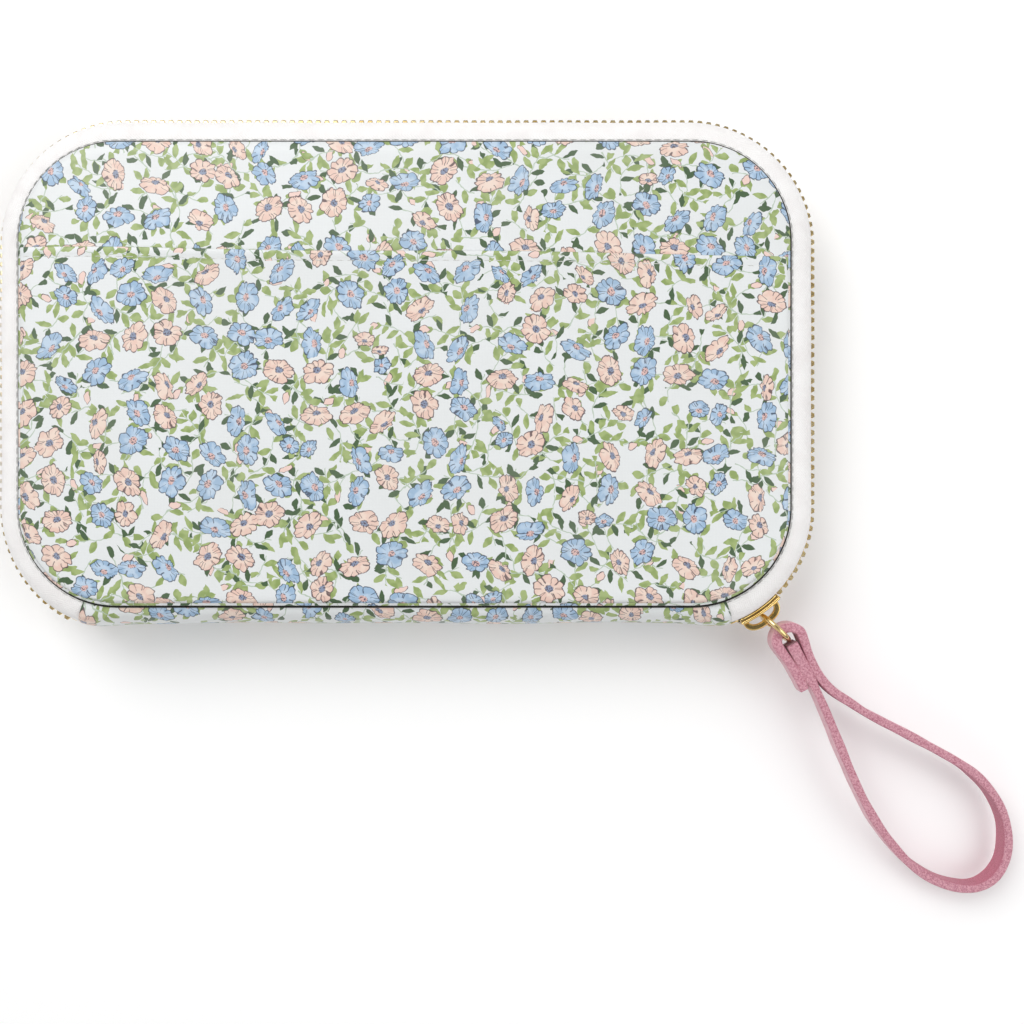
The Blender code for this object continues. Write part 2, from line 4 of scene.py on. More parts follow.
import bmesh
import bpy
import numpy as np
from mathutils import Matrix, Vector


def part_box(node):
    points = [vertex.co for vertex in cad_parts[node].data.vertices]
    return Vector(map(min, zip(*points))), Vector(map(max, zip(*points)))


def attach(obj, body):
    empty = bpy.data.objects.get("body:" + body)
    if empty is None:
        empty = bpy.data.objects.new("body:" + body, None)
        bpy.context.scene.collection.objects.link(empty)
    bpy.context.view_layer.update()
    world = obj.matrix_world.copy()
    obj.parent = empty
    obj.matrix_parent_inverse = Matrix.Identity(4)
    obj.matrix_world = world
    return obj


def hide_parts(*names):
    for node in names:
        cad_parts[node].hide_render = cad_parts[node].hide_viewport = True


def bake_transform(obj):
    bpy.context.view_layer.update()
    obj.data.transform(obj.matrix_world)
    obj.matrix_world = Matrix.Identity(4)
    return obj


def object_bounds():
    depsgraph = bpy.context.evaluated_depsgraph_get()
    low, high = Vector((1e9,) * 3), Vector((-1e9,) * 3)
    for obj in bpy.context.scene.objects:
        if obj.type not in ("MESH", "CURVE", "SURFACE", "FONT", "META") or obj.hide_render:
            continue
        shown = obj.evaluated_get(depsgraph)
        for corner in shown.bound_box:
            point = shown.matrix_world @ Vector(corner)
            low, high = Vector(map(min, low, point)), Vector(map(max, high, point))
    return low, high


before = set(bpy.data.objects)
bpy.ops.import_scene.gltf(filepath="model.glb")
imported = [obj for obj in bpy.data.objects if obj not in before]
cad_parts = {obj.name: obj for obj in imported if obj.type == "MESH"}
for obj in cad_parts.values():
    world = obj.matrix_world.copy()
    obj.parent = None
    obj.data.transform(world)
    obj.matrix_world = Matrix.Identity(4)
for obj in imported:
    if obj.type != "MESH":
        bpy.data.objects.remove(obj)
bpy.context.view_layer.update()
mm = 0.001

# Sizes read from the frame
panelHalf = np.array(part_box("back_panel")[1][:2])
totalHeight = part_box("front_pocket")[1][2]
midZ = totalHeight / 2
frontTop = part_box("front_panel")[1][2]
cornerRadius = 28 * mm
cornerCentre = panelHalf - cornerRadius
cornerSigns = ((1, -1), (1, 1), (-1, 1), (-1, -1))
teethRadius = 36 * mm  # of the zip's middle line in the corners
cover = {"roll": 3.4 * mm, "drop": 1.5 * mm, "crown": 1.0 * mm, "backCrown": 0.25 * mm, "crownReach": 20 * mm,
         "ripple": 0.12 * mm, "rippleReach": 12 * mm, "canvas": 0.8 * mm, "lining": 0.5 * mm}


def gridFaces(rows, cols, wrapU=False, wrapV=False):
    # quads between the neighbours of a rows x cols grid, joined up where it wraps
    i = np.arange(rows if wrapU else rows - 1)[:, None]
    j = np.arange(cols if wrapV else cols - 1)[None, :]
    a = i * cols + j
    b = ((i + 1) % rows) * cols + j
    c = ((i + 1) % rows) * cols + (j + 1) % cols
    d = i * cols + (j + 1) % cols
    return np.stack([a, b, c, d], axis=-1).reshape(-1, 4)


def makeObject(name, points, faces, finish, body, uv=None, smooth=True):
    mesh = bpy.data.meshes.new(name)
    mesh.from_pydata(np.asarray(points, float).reshape(-1, 3).tolist(), [], faces)
    if uv is not None:
        layer = mesh.uv_layers.new(name="cloth")
        index = np.empty(len(mesh.loops), np.int32)
        mesh.loops.foreach_get("vertex_index", index)
        layer.data.foreach_set("uv", np.asarray(uv, np.float32).reshape(-1, 2)[index].ravel())
    if smooth:
        mesh.shade_smooth()
    mesh.materials.append(finish)
    obj = bpy.data.objects.new(name, mesh)
    bpy.context.scene.collection.objects.link(obj)
    if body:
        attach(obj, body)
    return obj


def surface(name, grid, finish, body, wrapU=False, wrapV=False, caps=False, uv=None, flip=False):
    # a grid of points [row, column] made into quads; caps close the first and last ring
    rows, cols = grid.shape[:2]
    faces = gridFaces(rows, cols, wrapU, wrapV)
    if flip:
        faces = faces[:, ::-1]
    faces = faces.tolist()
    if caps:
        first = list(range(cols))
        last = [(rows - 1) * cols + j for j in range(cols)]
        faces.append(first if flip else first[::-1])
        faces.append(last[::-1] if flip else last)
    return makeObject(name, grid, faces, finish, body, uv)


def thicken(obj, thickness):
    wall = obj.modifiers.new("wall", "SOLIDIFY")
    wall.thickness = thickness
    wall.offset = -1
    return obj


def edgeDistance(x, y):
    # how far a point is inside the cover's outline: the radius less the distance from the corner's centre
    qx = np.abs(x) - cornerCentre[0]
    qy = np.abs(y) - cornerCentre[1]
    outside = np.hypot(np.maximum(qx, 0), np.maximum(qy, 0))
    return cornerRadius - outside - np.minimum(np.maximum(qx, qy), 0)


def coverRise(x, y, crown):
    # an elliptic roll at the seam, then a low crown that levels out, with a slow ripple
    d = np.maximum(edgeDistance(x, y), 0)
    near = 1 - np.minimum(d / cover["roll"], 1)
    roll = -cover["drop"] * (1 - np.sqrt(1 - near**2))
    swell = crown * (1 - np.exp(-((d / cover["crownReach"]) ** 2)))
    ripple = cover["ripple"] * np.sin(x / (17 * mm) + 1.3) * np.sin(y / (13 * mm) + 0.4)
    return roll + swell + ripple * (1 - np.exp(-d / cover["rippleReach"])) * (crown > 0)


def coverRing(count, offset=0.0):
    # points round the seam outline moved out by offset: arcs at the corners, even steps between
    perSide = count // 8
    turn = np.linspace(0, pi / 2, perSide, endpoint=False)
    pieces = []
    for k, (sx, sy) in enumerate(cornerSigns):
        angle = turn + (k - 1) * pi / 2
        radius = cornerRadius + offset
        centre = np.array([sx, sy]) * cornerCentre
        arc = centre + radius * np.stack([np.cos(angle), np.sin(angle)], axis=1)
        following = np.array(cornerSigns[(k + 1) % 4]) * cornerCentre
        endAngle = k * pi / 2
        reach = radius * np.array([np.cos(endAngle), np.sin(endAngle)])
        start, stop = centre + reach, following + reach
        share = np.linspace(0, 1, perSide, endpoint=False)[:, None]
        pieces += [arc, start + (stop - start) * share]
    return np.concatenate(pieces)


def lengthAlong(line):
    # the length so far at each point of a line
    return np.concatenate([[0], np.cumsum(np.linalg.norm(np.diff(line, axis=0), axis=1))])


def fullTurn(count):
    # even angles once round a section
    return np.linspace(0, 2 * pi, count, endpoint=False)


def zipPath(startDegrees, endDegrees, spacing):
    # arc-length stations round the seam outline: corner centre, outward direction and length so far
    knots = [startDegrees] + [a for a in (-90, 0, 90, 180, 270, 360) if startDegrees < a < endDegrees]
    centres, outs = [], []
    for start, end in zip(knots, knots[1:] + [endDegrees]):
        corner = int((start + 90 + 1e-6) // 90) % 4
        steps = max(2, int(radians(end - start) * teethRadius / spacing) + 1)
        angle = np.radians(np.linspace(start, end, steps))
        centre = np.array(cornerSigns[corner]) * cornerCentre
        if len(centres):
            gap = np.linalg.norm(centre - centres[-1][-1])
            between = np.linspace(0, 1, max(2, int(gap / spacing)))[1:-1, None]
            centres.append(centres[-1][-1] + (centre - centres[-1][-1]) * between)
            outs.append(np.repeat(outs[-1][-1:], len(between), axis=0))
        centres.append(np.repeat(centre[None], steps, axis=0))
        outs.append(np.stack([np.cos(angle), np.sin(angle)], axis=1))
    centres, outs = np.concatenate(centres), np.concatenate(outs)
    return centres, outs, lengthAlong(centres + outs * teethRadius)


def evenPath(path, distances):
    # the same stations read off at given lengths along the path
    centres, outs, length = path
    pick = [np.interp(distances, length, column) for column in (*centres.T, *outs.T)]
    out = np.stack(pick[2:], axis=1)
    return np.stack(pick[:2], axis=1), out / np.linalg.norm(out, axis=1)[:, None]


def place(centres, outs, offset, height):
    # points at an offset out from the seam outline and a height, for every station
    offset, height = np.asarray(offset), np.asarray(height)
    radius = cornerRadius + offset
    xy = centres[:, None, :] + outs[:, None, :] * radius[None, :, None]
    z = np.broadcast_to(height[None, :, None], (*xy.shape[:2], 1))
    return np.concatenate([xy, z], axis=2)


drawing = {}  # its "tree" is the node tree being built


def newNode(kind, **settings):
    node = drawing["tree"].nodes.new(kind)
    for title, value in settings.items():
        setattr(node, title, value)
    return node


def link(value, socket):
    if isinstance(value, bpy.types.NodeSocket):
        drawing["tree"].links.new(value, socket)
    elif value is not None:
        socket.default_value = value


def calc(operation, a, b=None, c=None):
    node = newNode("ShaderNodeMath", operation=operation)
    for value, socket in zip((a, b, c), node.inputs):
        link(value, socket)
    return node.outputs[0]


plus, minus, times, divide = (partial(calc, kind) for kind in ("ADD", "SUBTRACT", "MULTIPLY", "DIVIDE"))
timesPlus, absolute, lesser, greater = (partial(calc, kind) for kind in ("MULTIPLY_ADD", "ABSOLUTE",
        "MINIMUM", "MAXIMUM"))
sine, cosine = partial(calc, "SINE"), partial(calc, "COSINE")


def vector(operation, a, b=None, scale=None):
    node = newNode("ShaderNodeVectorMath", operation=operation)
    link(a, node.inputs[0])
    link(b, node.inputs[1])
    if scale is not None:
        link(scale, node.inputs["Scale"])
    return node.outputs["Value"] if operation == "LENGTH" else node.outputs[0]


def split(value):
    node = newNode("ShaderNodeSeparateXYZ")
    link(value, node.inputs[0])
    return node.outputs[0], node.outputs[1], node.outputs[2]


def joinUp(x, y, z=0.0):
    node = newNode("ShaderNodeCombineXYZ")
    for value, socket in zip((x, y, z), node.inputs):
        link(value, socket)
    return node.outputs[0]


def blendColour(mask, a, b):
    node = newNode("ShaderNodeMix", data_type="RGBA")
    link(mask, node.inputs[0])
    for value, socket in ((a, node.inputs[6]), (b, node.inputs[7])):
        link((*value, 1) if isinstance(value, tuple) else value, socket)
    return node.outputs[2]


def soften(value, low, high):
    node = newNode("ShaderNodeMapRange", interpolation_type="SMOOTHSTEP")
    for given, socket in zip((value, low, high), node.inputs):
        link(given, socket)
    return node.outputs[0]


def noise(place, scale, detail=2.0, rough=0.5):
    node = newNode("ShaderNodeTexNoise")
    for title, value in (("Vector", place), ("Scale", scale), ("Detail", detail), ("Roughness", rough)):
        link(value, node.inputs[title])
    return node.outputs["Fac"], node.outputs["Color"]


def cells(place, feature="F1", randomness=0.7, dimensions="2D"):
    node = newNode("ShaderNodeTexVoronoi", voronoi_dimensions=dimensions, feature=feature)
    for title, value in (("Vector", place), ("Scale", 1.0), ("Randomness", randomness)):
        link(value, node.inputs[title])
    return node.outputs


def bump(height, strength, distance):
    node = newNode("ShaderNodeBump")
    for title, value in (("Strength", strength), ("Distance", distance), ("Height", height)):
        link(value, node.inputs[title])
    return node.outputs[0]


def newGroup(name, inputs, *outputs):
    # inputs by title with their first values, None for a vector; every output is a number but "Color"
    group = bpy.data.node_groups.new(name, "ShaderNodeTree")
    drawing["tree"] = group
    for title, value in inputs.items():
        kind = "NodeSocketVector" if value is None else "NodeSocketFloat"
        socket = group.interface.new_socket(title, in_out="INPUT", socket_type=kind)
        if value is not None:
            socket.default_value = value
    for title in outputs:
        kind = "NodeSocketColor" if title == "Color" else "NodeSocketFloat"
        group.interface.new_socket(title, in_out="OUTPUT", socket_type=kind)
    return group, newNode("NodeGroupInput").outputs, newNode("NodeGroupOutput").inputs


def useGroup(shared, **values):
    node = newNode("ShaderNodeGroup", node_tree=shared)
    for title, value in values.items():
        link(value, node.inputs[title])
    return node.outputs


def srgb(r, g, b):
    # a display colour from 0 to 255 as linear light
    c = np.array([r, g, b]) / 255
    return tuple(float(v) for v in np.where(c <= 0.04045, c / 12.92, ((c + 0.055) / 1.055) ** 2.4))


def newFinish(name, **settings):
    made = bpy.data.materials.new(name)
    made.use_nodes = True
    drawing["tree"] = made.node_tree
    shader = made.node_tree.nodes["Principled BSDF"]
    for title, value in settings.items():
        shader.inputs[title.replace("_", " ")].default_value = value
    return made, shader


def coordinates(kind="Object"):
    return newNode("ShaderNodeTexCoord").outputs[kind]


def turned(place, angle):
    # a 2D place turned by an angle in radians: x and y in its own directions
    x, y, _ = split(place)
    c, s = cosine(angle), sine(angle)
    u = plus(times(x, c), times(y, s))
    v = minus(times(y, c), times(x, s))
    return u, v


def buildLeafShape():
    # depth inside a pointed leaf that grows from a base point at an angle; 4s(1-s) gives its outline
    starts = {"X": 0, "Y": 0, "BaseX": 0, "BaseY": 0, "Angle": 0, "Length": 4.4, "Width": 1.9}
    group, given, made = newGroup("leafShape", starts, "Depth")
    x = minus(given["X"], given["BaseX"])
    y = minus(given["Y"], given["BaseY"])
    u, v = turned(joinUp(x, y), given["Angle"])
    s = divide(u, given["Length"])
    arc = times(times(s, minus(1.0, s)), 4.0)
    outline = plus(greater(arc, 0.0), times(lesser(arc, 0.0), 6.0))
    half = times(times(outline, given["Width"]), 0.5)
    link(minus(half, absolute(v)), made["Depth"])
    return group


def buildSprig(name, leafShape, leaves, reach):
    # one sprig in each cell, in mm: light leaves, dark leaves, buds and a thin bent stem
    starts = {"Vector": None, "Cell": 11.0, "Shift": None}
    group, given, made = newGroup(name, starts, "Light", "Dark", "Bud", "Stem")
    shifted = vector("ADD", given["Vector"], given["Shift"])
    small = vector("SCALE", shifted, scale=divide(1.0, given["Cell"]))
    voronoi = cells(small, randomness=0.62)
    local = vector("SCALE", vector("SUBTRACT", small, voronoi["Position"]), scale=given["Cell"])
    red, green, _ = split(voronoi["Color"])
    x, y = turned(local, times(red, 6.283))
    bend = times(minus(green, 0.5), 0.16)
    y = minus(y, times(times(x, x), bend))
    depths = {"Light": None, "Dark": None, "Bud": None}
    for baseX, baseY, angle, length, width, kind in leaves:
        leaf = useGroup(leafShape, X=x, Y=y, BaseX=baseX, BaseY=baseY, Angle=radians(angle),
                        Length=length, Width=width)
        known = depths[kind]
        depths[kind] = leaf["Depth"] if known is None else greater(known, leaf["Depth"])
    for kind, depth in depths.items():
        link(-1.0 if depth is None else depth, made[kind])
    stem = minus(0.17, absolute(y))
    inside = minus(reach, absolute(x))
    link(lesser(stem, inside), made["Stem"])
    return group


def buildFlower():
    # one open flower in each cell: scalloped outline, petal lines, speckled centre, random turn and tilt
    starts = {"Vector": None, "Cell": 10.6, "Radius": 4.9, "Shift": None}
    group, given, made = newGroup("openFlower", starts, "Fill", "Ink", "Heart", "Speck", "Pick", "Shade")
    shifted = vector("ADD", given["Vector"], given["Shift"])
    small = vector("SCALE", shifted, scale=divide(1.0, given["Cell"]))
    voronoi = cells(small, randomness=0.6)
    room = times(cells(small, "N_SPHERE_RADIUS", 0.6)["Radius"], given["Cell"])
    local = vector("SCALE", vector("SUBTRACT", small, voronoi["Position"]), scale=given["Cell"])
    red, green, blue = split(voronoi["Color"])
    x, y = turned(local, times(red, 6.283))
    tilt = timesPlus(green, 0.34, 0.50)
    y = divide(y, tilt)
    full = lesser(given["Radius"], times(room, 1.22))
    lift = times(minus(green, 0.95), times(full, 0.45))
    heartY = minus(y, lift)
    rho = vector("LENGTH", joinUp(x, y))
    theta = calc("ARCTAN2", heartY, x)
    wobble, _ = noise(joinUp(times(cosine(theta), 1.3),
                                    times(sine(theta), 1.3),
                                    times(blue, 40)), 1.0, 1.0)
    petals = absolute(cosine(timesPlus(theta, 2.5, times(blue, 6))))
    frill = absolute(sine(timesPlus(theta, 5.0, times(wobble, 7))))
    outline = timesPlus(petals, 0.11,
                        timesPlus(calc("POWER", frill, 0.6), 0.13, timesPlus(wobble, 0.46, 0.48)))
    edge = times(outline, full)
    ratio = divide(rho, edge)
    depth = minus(edge, rho)
    rim = minus(0.18, absolute(depth))
    # the lines between petals, and short strokes in from the frilled edge
    between = times(petals, times(rho, 0.42))
    partLine = lesser(minus(0.10, between), times(minus(ratio, 0.42), 2.0))
    strokeWidth = times(frill, times(rho, 0.2))
    strokes = lesser(minus(0.10, strokeWidth), times(minus(ratio, timesPlus(wobble, 0.8, 0.12)), 2.0))
    lines = lesser(greater(partLine, strokes), depth)
    heartRho = vector("LENGTH", joinUp(x, heartY))
    heart = minus(times(full, 0.24), heartRho)
    dots, _ = noise(shifted, 2.6, 0.0)
    speck = lesser(times(minus(dots, 0.56), 2.0), plus(heart, 0.25))
    for value, title in ((depth, "Fill"), (greater(rim, lines), "Ink"), (heart, "Heart"), (speck, "Speck"),
                         (blue, "Pick"), (ratio, "Shade")):
        link(value, made[title])
    return group


printColours = {
    "ground": srgb(226, 229, 230), "stem": srgb(180, 196, 178), "lightLeaf": srgb(138, 159, 90),
    "darkLeaf": srgb(60, 89, 52), "leafTint": srgb(160, 178, 114), "blue": srgb(153, 183, 212),
    "bluePale": srgb(188, 208, 228), "blueInk": srgb(24, 40, 72), "peach": srgb(237, 215, 201),
    "peachDeep": srgb(231, 198, 184), "peachInk": srgb(66, 42, 54), "blueHeart": srgb(222, 184, 178),
    "peachHeart": srgb(134, 146, 172), "budTip": srgb(236, 206, 196),
}


def buildPrint():
    # a ditsy print in layers: ground, stems, leaves, buds, then blue and peach flowers with inked edges
    leafShape = buildLeafShape()
    sprigA = buildSprig("leafySprig", leafShape, [
        (4.6, 0.0, 4, 4.4, 1.9, "Light"), (3.0, 0.1, 52, 4.6, 1.9, "Light"),
        (1.9, -0.1, -50, 4.5, 1.9, "Light"),
        (-0.2, 0.1, 60, 4.4, 1.8, "Light"), (-1.6, -0.1, -56, 4.2, 1.6, "Dark"),
        (-4.6, 0.0, 166, 4.2, 1.6, "Dark")], 5.2)
    sprigB = buildSprig("smallSprig", leafShape, [
        (1.5, 0.1, 44, 4.3, 1.6, "Dark"), (0.4, -0.1, -52, 4.5, 1.9, "Light"),
        (-1.9, 0.1, 136, 4.3, 1.8, "Light")], 3.4)
    sprigC = buildSprig("budSprig", leafShape, [
        (4.2, 0.1, 10, 3.2, 2.1, "Bud"), (3.3, 0.0, 12, 2.4, 2.0, "Light"),
        (0.9, -0.1, -54, 4.0, 1.6, "Dark"),
        (-1.5, 0.1, 58, 4.4, 1.8, "Light"), (-3.4, 0.0, -152, 4.3, 1.8, "Light")], 4.0)
    flower = buildFlower()
    group, given, made = newGroup("ditsyPrint", {"Vector": None}, "Color")
    place = vector("SCALE", given["Vector"], scale=1000.0)
    flat = vector("MULTIPLY", place, (1.0, 1.0, 0.0))
    _, sway = noise(flat, 0.55, 1.0)
    flat = vector("ADD", flat, vector("SCALE", vector("SUBTRACT", sway, (0.5, 0.5, 0.5)), scale=1.1))
    c = printColours
    colour = c["ground"]
    a = useGroup(sprigA, Vector=flat, Cell=12.8, Shift=(3.1, 7.7, 0))
    b = useGroup(sprigB, Vector=flat, Cell=8.9, Shift=(41.3, -12.2, 0))
    d = useGroup(sprigC, Vector=flat, Cell=14.5, Shift=(-20.6, 55.1, 0))
    tint, _ = noise(flat, 0.5, 0.0)
    for sprig in (b, d, a):
        colour = blendColour(soften(sprig["Stem"], -0.05, 0.1), colour, c["stem"])
        leaf = blendColour(soften(tint, 0.35, 0.65), c["lightLeaf"], c["leafTint"])
        colour = blendColour(soften(sprig["Light"], -0.05, 0.08), colour, leaf)
        colour = blendColour(soften(sprig["Dark"], -0.05, 0.08), colour, c["darkLeaf"])
        if sprig is d:
            colour = blendColour(soften(sprig["Bud"], -0.18, -0.1), colour, c["peachInk"])
            colour = blendColour(soften(sprig["Bud"], 0.0, 0.1), colour, c["budTip"])
    f = useGroup(flower, Vector=flat)
    isBlue = calc("GREATER_THAN", f["Pick"], 0.47)
    shade, _ = noise(flat, 0.42, 1.0)
    deepen = soften(timesPlus(f["Shade"], 0.25, shade), 0.50, 0.78)
    bluePetal = blendColour(deepen, c["bluePale"], c["blue"])
    peachPetal = blendColour(deepen, c["peach"], c["peachDeep"])
    petal = blendColour(isBlue, peachPetal, bluePetal)
    ink = blendColour(isBlue, c["peachInk"], c["blueInk"])
    heart = blendColour(isBlue, c["peachHeart"], c["blueHeart"])
    petal = blendColour(soften(f["Heart"], -0.1, 0.15), petal, heart)
    petal = blendColour(times(soften(f["Speck"], -0.02, 0.1), 0.85), petal, ink)
    colour = blendColour(soften(f["Fill"], -0.05, 0.05), colour, petal)
    inkMask = times(soften(f["Ink"], -0.06, 0.07), 0.88)
    colour = blendColour(inkMask, colour, ink)
    link(colour, made["Color"])
    return group


def buildWeave():
    # plain weave: two sets of threads, each seen where the other goes under
    group, given, made = newGroup("plainWeave", {"Vector": None, "Pitch": 0.45}, "Height", "Fuzz")
    place = vector("SCALE", given["Vector"], scale=divide(1000.0 * pi, given["Pitch"]))
    x, y, _ = split(place)
    a = absolute(sine(x))
    b = absolute(sine(y))
    over = calc("SIGN", times(sine(x), sine(y)))
    pick = timesPlus(over, 0.5, 0.5)
    height = plus(times(a, pick), times(b, minus(1.0, pick)))
    fuzz, _ = noise(given["Vector"], 1600.0, 3.0)
    link(height, made["Height"])
    link(fuzz, made["Fuzz"])
    return group


def buildTwill():
    # herringbone twill in the tape's own length and width, both in metres
    group, given, made = newGroup("tapeTwill", {"Vector": None, "Pitch": 0.9}, "Height", "Thread")
    place = vector("SCALE", given["Vector"], scale=1000.0)
    x, y, _ = split(place)
    fold = calc("PINGPONG", y, 2.6)
    along = divide(plus(x, fold), given["Pitch"])
    ridge = absolute(sine(times(along, pi)))
    thread = absolute(sine(times(x, pi / 0.42)))
    height = timesPlus(thread, 0.35, times(ridge, 0.65))
    link(height, made["Height"])
    link(thread, made["Thread"])
    return group


printGroup = buildPrint()
weaveGroup = buildWeave()
twillGroup = buildTwill()


def canvasFinish(name, kind="Object", offset=(0.0, 0.0, 0.0)):
    # printed cotton under a clear satin coat
    made, shader = newFinish(name, Roughness=0.42, Coat_Weight=0.12, Coat_Roughness=0.35)
    place = vector("ADD", coordinates(kind), offset)
    printed = useGroup(printGroup, Vector=place)
    weave = useGroup(weaveGroup, Vector=place, Pitch=0.42)
    wear, _ = noise(place, 60.0, 3.0)
    shade = blendColour(times(soften(wear, 0.35, 0.75), 0.10), printed["Color"], srgb(205, 205, 196))
    # painted shade: the print greyed in the weave's low hollows, following the thread bump
    printWithHollowShade = blendColour(times(minus(1.0, weave["Height"]), 0.10), shade, srgb(150, 150, 145))
    link(printWithHollowShade, shader.inputs["Base Color"])
    link(bump(weave["Height"], 0.28, 0.00006), shader.inputs["Normal"])
    return made


def clothFinish(name, colour, shade, kind="Object", pitch=0.5, roughness=0.8):
    # plain woven lining
    made, shader = newFinish(name, Roughness=roughness, Sheen_Weight=0.25, Sheen_Roughness=0.5)
    place = coordinates(kind)
    weave = useGroup(weaveGroup, Vector=place, Pitch=pitch)
    slub, _ = noise(vector("MULTIPLY", place, (1.0, 9.0, 1.0)), 130.0, 3.0)
    tone = blendColour(soften(slub, 0.3, 0.75), colour, shade)
    # painted shade: the cloth darkened in the weave's low hollows, following the thread bump
    tone = blendColour(times(minus(1.0, weave["Height"]), 0.35), tone, tuple(v * 0.7 for v in shade))
    link(tone, shader.inputs["Base Color"])
    link(bump(weave["Height"], 0.5, 0.00010), shader.inputs["Normal"])
    return made


def tapeFinish():
    made, shader = newFinish("whiteZipTape", Roughness=0.72, Sheen_Weight=0.3, Sheen_Roughness=0.4)
    place = coordinates("UV")
    twill = useGroup(twillGroup, Vector=place, Pitch=0.85)
    dirt, _ = noise(place, 140.0, 3.0)
    base = blendColour(soften(dirt, 0.3, 0.8), srgb(250, 249, 248), srgb(242, 239, 238))
    # painted shade: the tape greyed in the twill's low hollows, following the thread bump
    tone = blendColour(times(minus(1.0, twill["Height"]), 0.3), base, srgb(214, 209, 209))
    link(tone, shader.inputs["Base Color"])
    link(bump(twill["Height"], 0.6, 0.00014), shader.inputs["Normal"])
    return made


def brassFinish(name, colour, dark, roughness=0.2):
    # polished gold plate with faint rub marks, a little browner where it is rubbed
    made, shader = newFinish(name, Metallic=1.0, Coat_Weight=0.1, Coat_Roughness=0.1)
    place = coordinates()
    cloud, _ = noise(place, 220.0, 4.0)
    scratch, _ = noise(vector("MULTIPLY", place, (1.0, 14.0, 3.0)), 900.0, 2.0)
    link(blendColour(soften(cloud, 0.35, 0.8), colour, dark), shader.inputs["Base Color"])
    rough = timesPlus(scratch, 0.16, roughness - 0.06)
    link(rough, shader.inputs["Roughness"])
    link(bump(scratch, 0.08, 0.00003), shader.inputs["Normal"])
    return made


def leatherFinish():
    # vegetable leather: pale waxed face, rosy flesh side, speckled fibrous cut edges
    made, shader = newFinish("pinkLeather", Roughness=0.55, Sheen_Weight=0.15, Sheen_Roughness=0.5)
    side = newNode("ShaderNodeAttribute", attribute_name="side")
    cut, inner, _ = split(side.outputs["Vector"])
    place = coordinates()
    grain = cells(vector("SCALE", place, scale=2600.0), "DISTANCE_TO_EDGE", 1.0, "3D")["Distance"]
    cloud, _ = noise(place, 330.0, 5.0, 0.65)
    fibres, _ = noise(vector("MULTIPLY", place, (1.0, 1.0, 0.6)), 3400.0, 3.0, 0.7)
    coarse, _ = noise(place, 1900.0, 3.0, 0.6)
    face = blendColour(soften(cloud, 0.3, 0.75), srgb(230, 178, 188), srgb(214, 152, 166))
    flesh = blendColour(soften(fibres, 0.3, 0.72), srgb(200, 120, 140), srgb(172, 88, 110))
    raw = blendColour(soften(coarse, 0.34, 0.66), srgb(180, 110, 128), srgb(216, 162, 174))
    raw = blendColour(soften(fibres, 0.56, 0.72), raw, srgb(238, 196, 206))
    # dark specks of the cut edge, set where the fibre bump is low: partly the edge's own specks, partly
    # painted shade in the fibre hollows
    raw = blendColour(times(minus(1.0, soften(fibres, 0.26, 0.42)), 0.75), raw, srgb(120, 56, 80))
    tone = blendColour(inner, face, flesh)
    tone = blendColour(cut, tone, raw)
    link(tone, shader.inputs["Base Color"])
    pores = times(soften(grain, 0.0, 0.25), minus(1.0, cut))
    height = timesPlus(fibres, timesPlus(cut, 1.4, 0.35), times(pores, 0.4))
    link(bump(height, 0.75, 0.00016), shader.inputs["Normal"])
    rough = timesPlus(cut, 0.25, timesPlus(inner, 0.2, 0.45))
    link(rough, shader.inputs["Roughness"])
    return made


def threadFinish(name, colour, sheen=0.3):
    made, shader = newFinish(name, Roughness=0.6, Sheen_Weight=sheen)
    ply, _ = noise(coordinates(), 3000.0, 1.0)
    link(blendColour(soften(ply, 0.3, 0.7), colour, tuple(v * 0.72 for v in colour)),
         shader.inputs["Base Color"])
    return made


canvasPanel = canvasFinish("printedCanvasPanel")
canvasPocket = canvasFinish("printedCanvasPocket", offset=(0.187, 0.142, 0.0))
canvasBack = canvasFinish("printedCanvasBack", offset=(0.321, -0.115, 0.0))
canvasSpine = canvasFinish("printedCanvasSpine", kind="UV", offset=(0.53, 0.21, 0.0))
lining = clothFinish("blueLining", srgb(186, 203, 226), srgb(168, 187, 214))
liningSpine = clothFinish("blueLiningSpine", srgb(186, 203, 226), srgb(168, 187, 214), kind="UV")
pocketCloth = clothFinish("blushPocketCloth", srgb(236, 216, 208), srgb(224, 200, 192), pitch=0.45)
padCloth = clothFinish("greyPadFelt", srgb(214, 214, 212), srgb(190, 190, 188), pitch=0.8, roughness=0.95)
whiteTape = tapeFinish()
gold = brassFinish("goldPlate", srgb(232, 202, 134), srgb(206, 168, 92), 0.14)
paleGold = brassFinish("paleGoldTeeth", srgb(246, 224, 170), srgb(222, 190, 122), 0.24)
ringGold = brassFinish("paleGoldWire", srgb(240, 216, 160), srgb(214, 178, 112), 0.15)
pinkLeather = leatherFinish()
whiteThread = threadFinish("whiteThread", srgb(226, 227, 223))
# painted shade: a near-black cord colour for the shadow line in each seam's groove
seamShadowCord = threadFinish("paintedSeamShadowCord", srgb(38, 37, 30), sheen=0.0)
blueThread = threadFinish("blueThread", srgb(170, 190, 216))
print("finishes made")


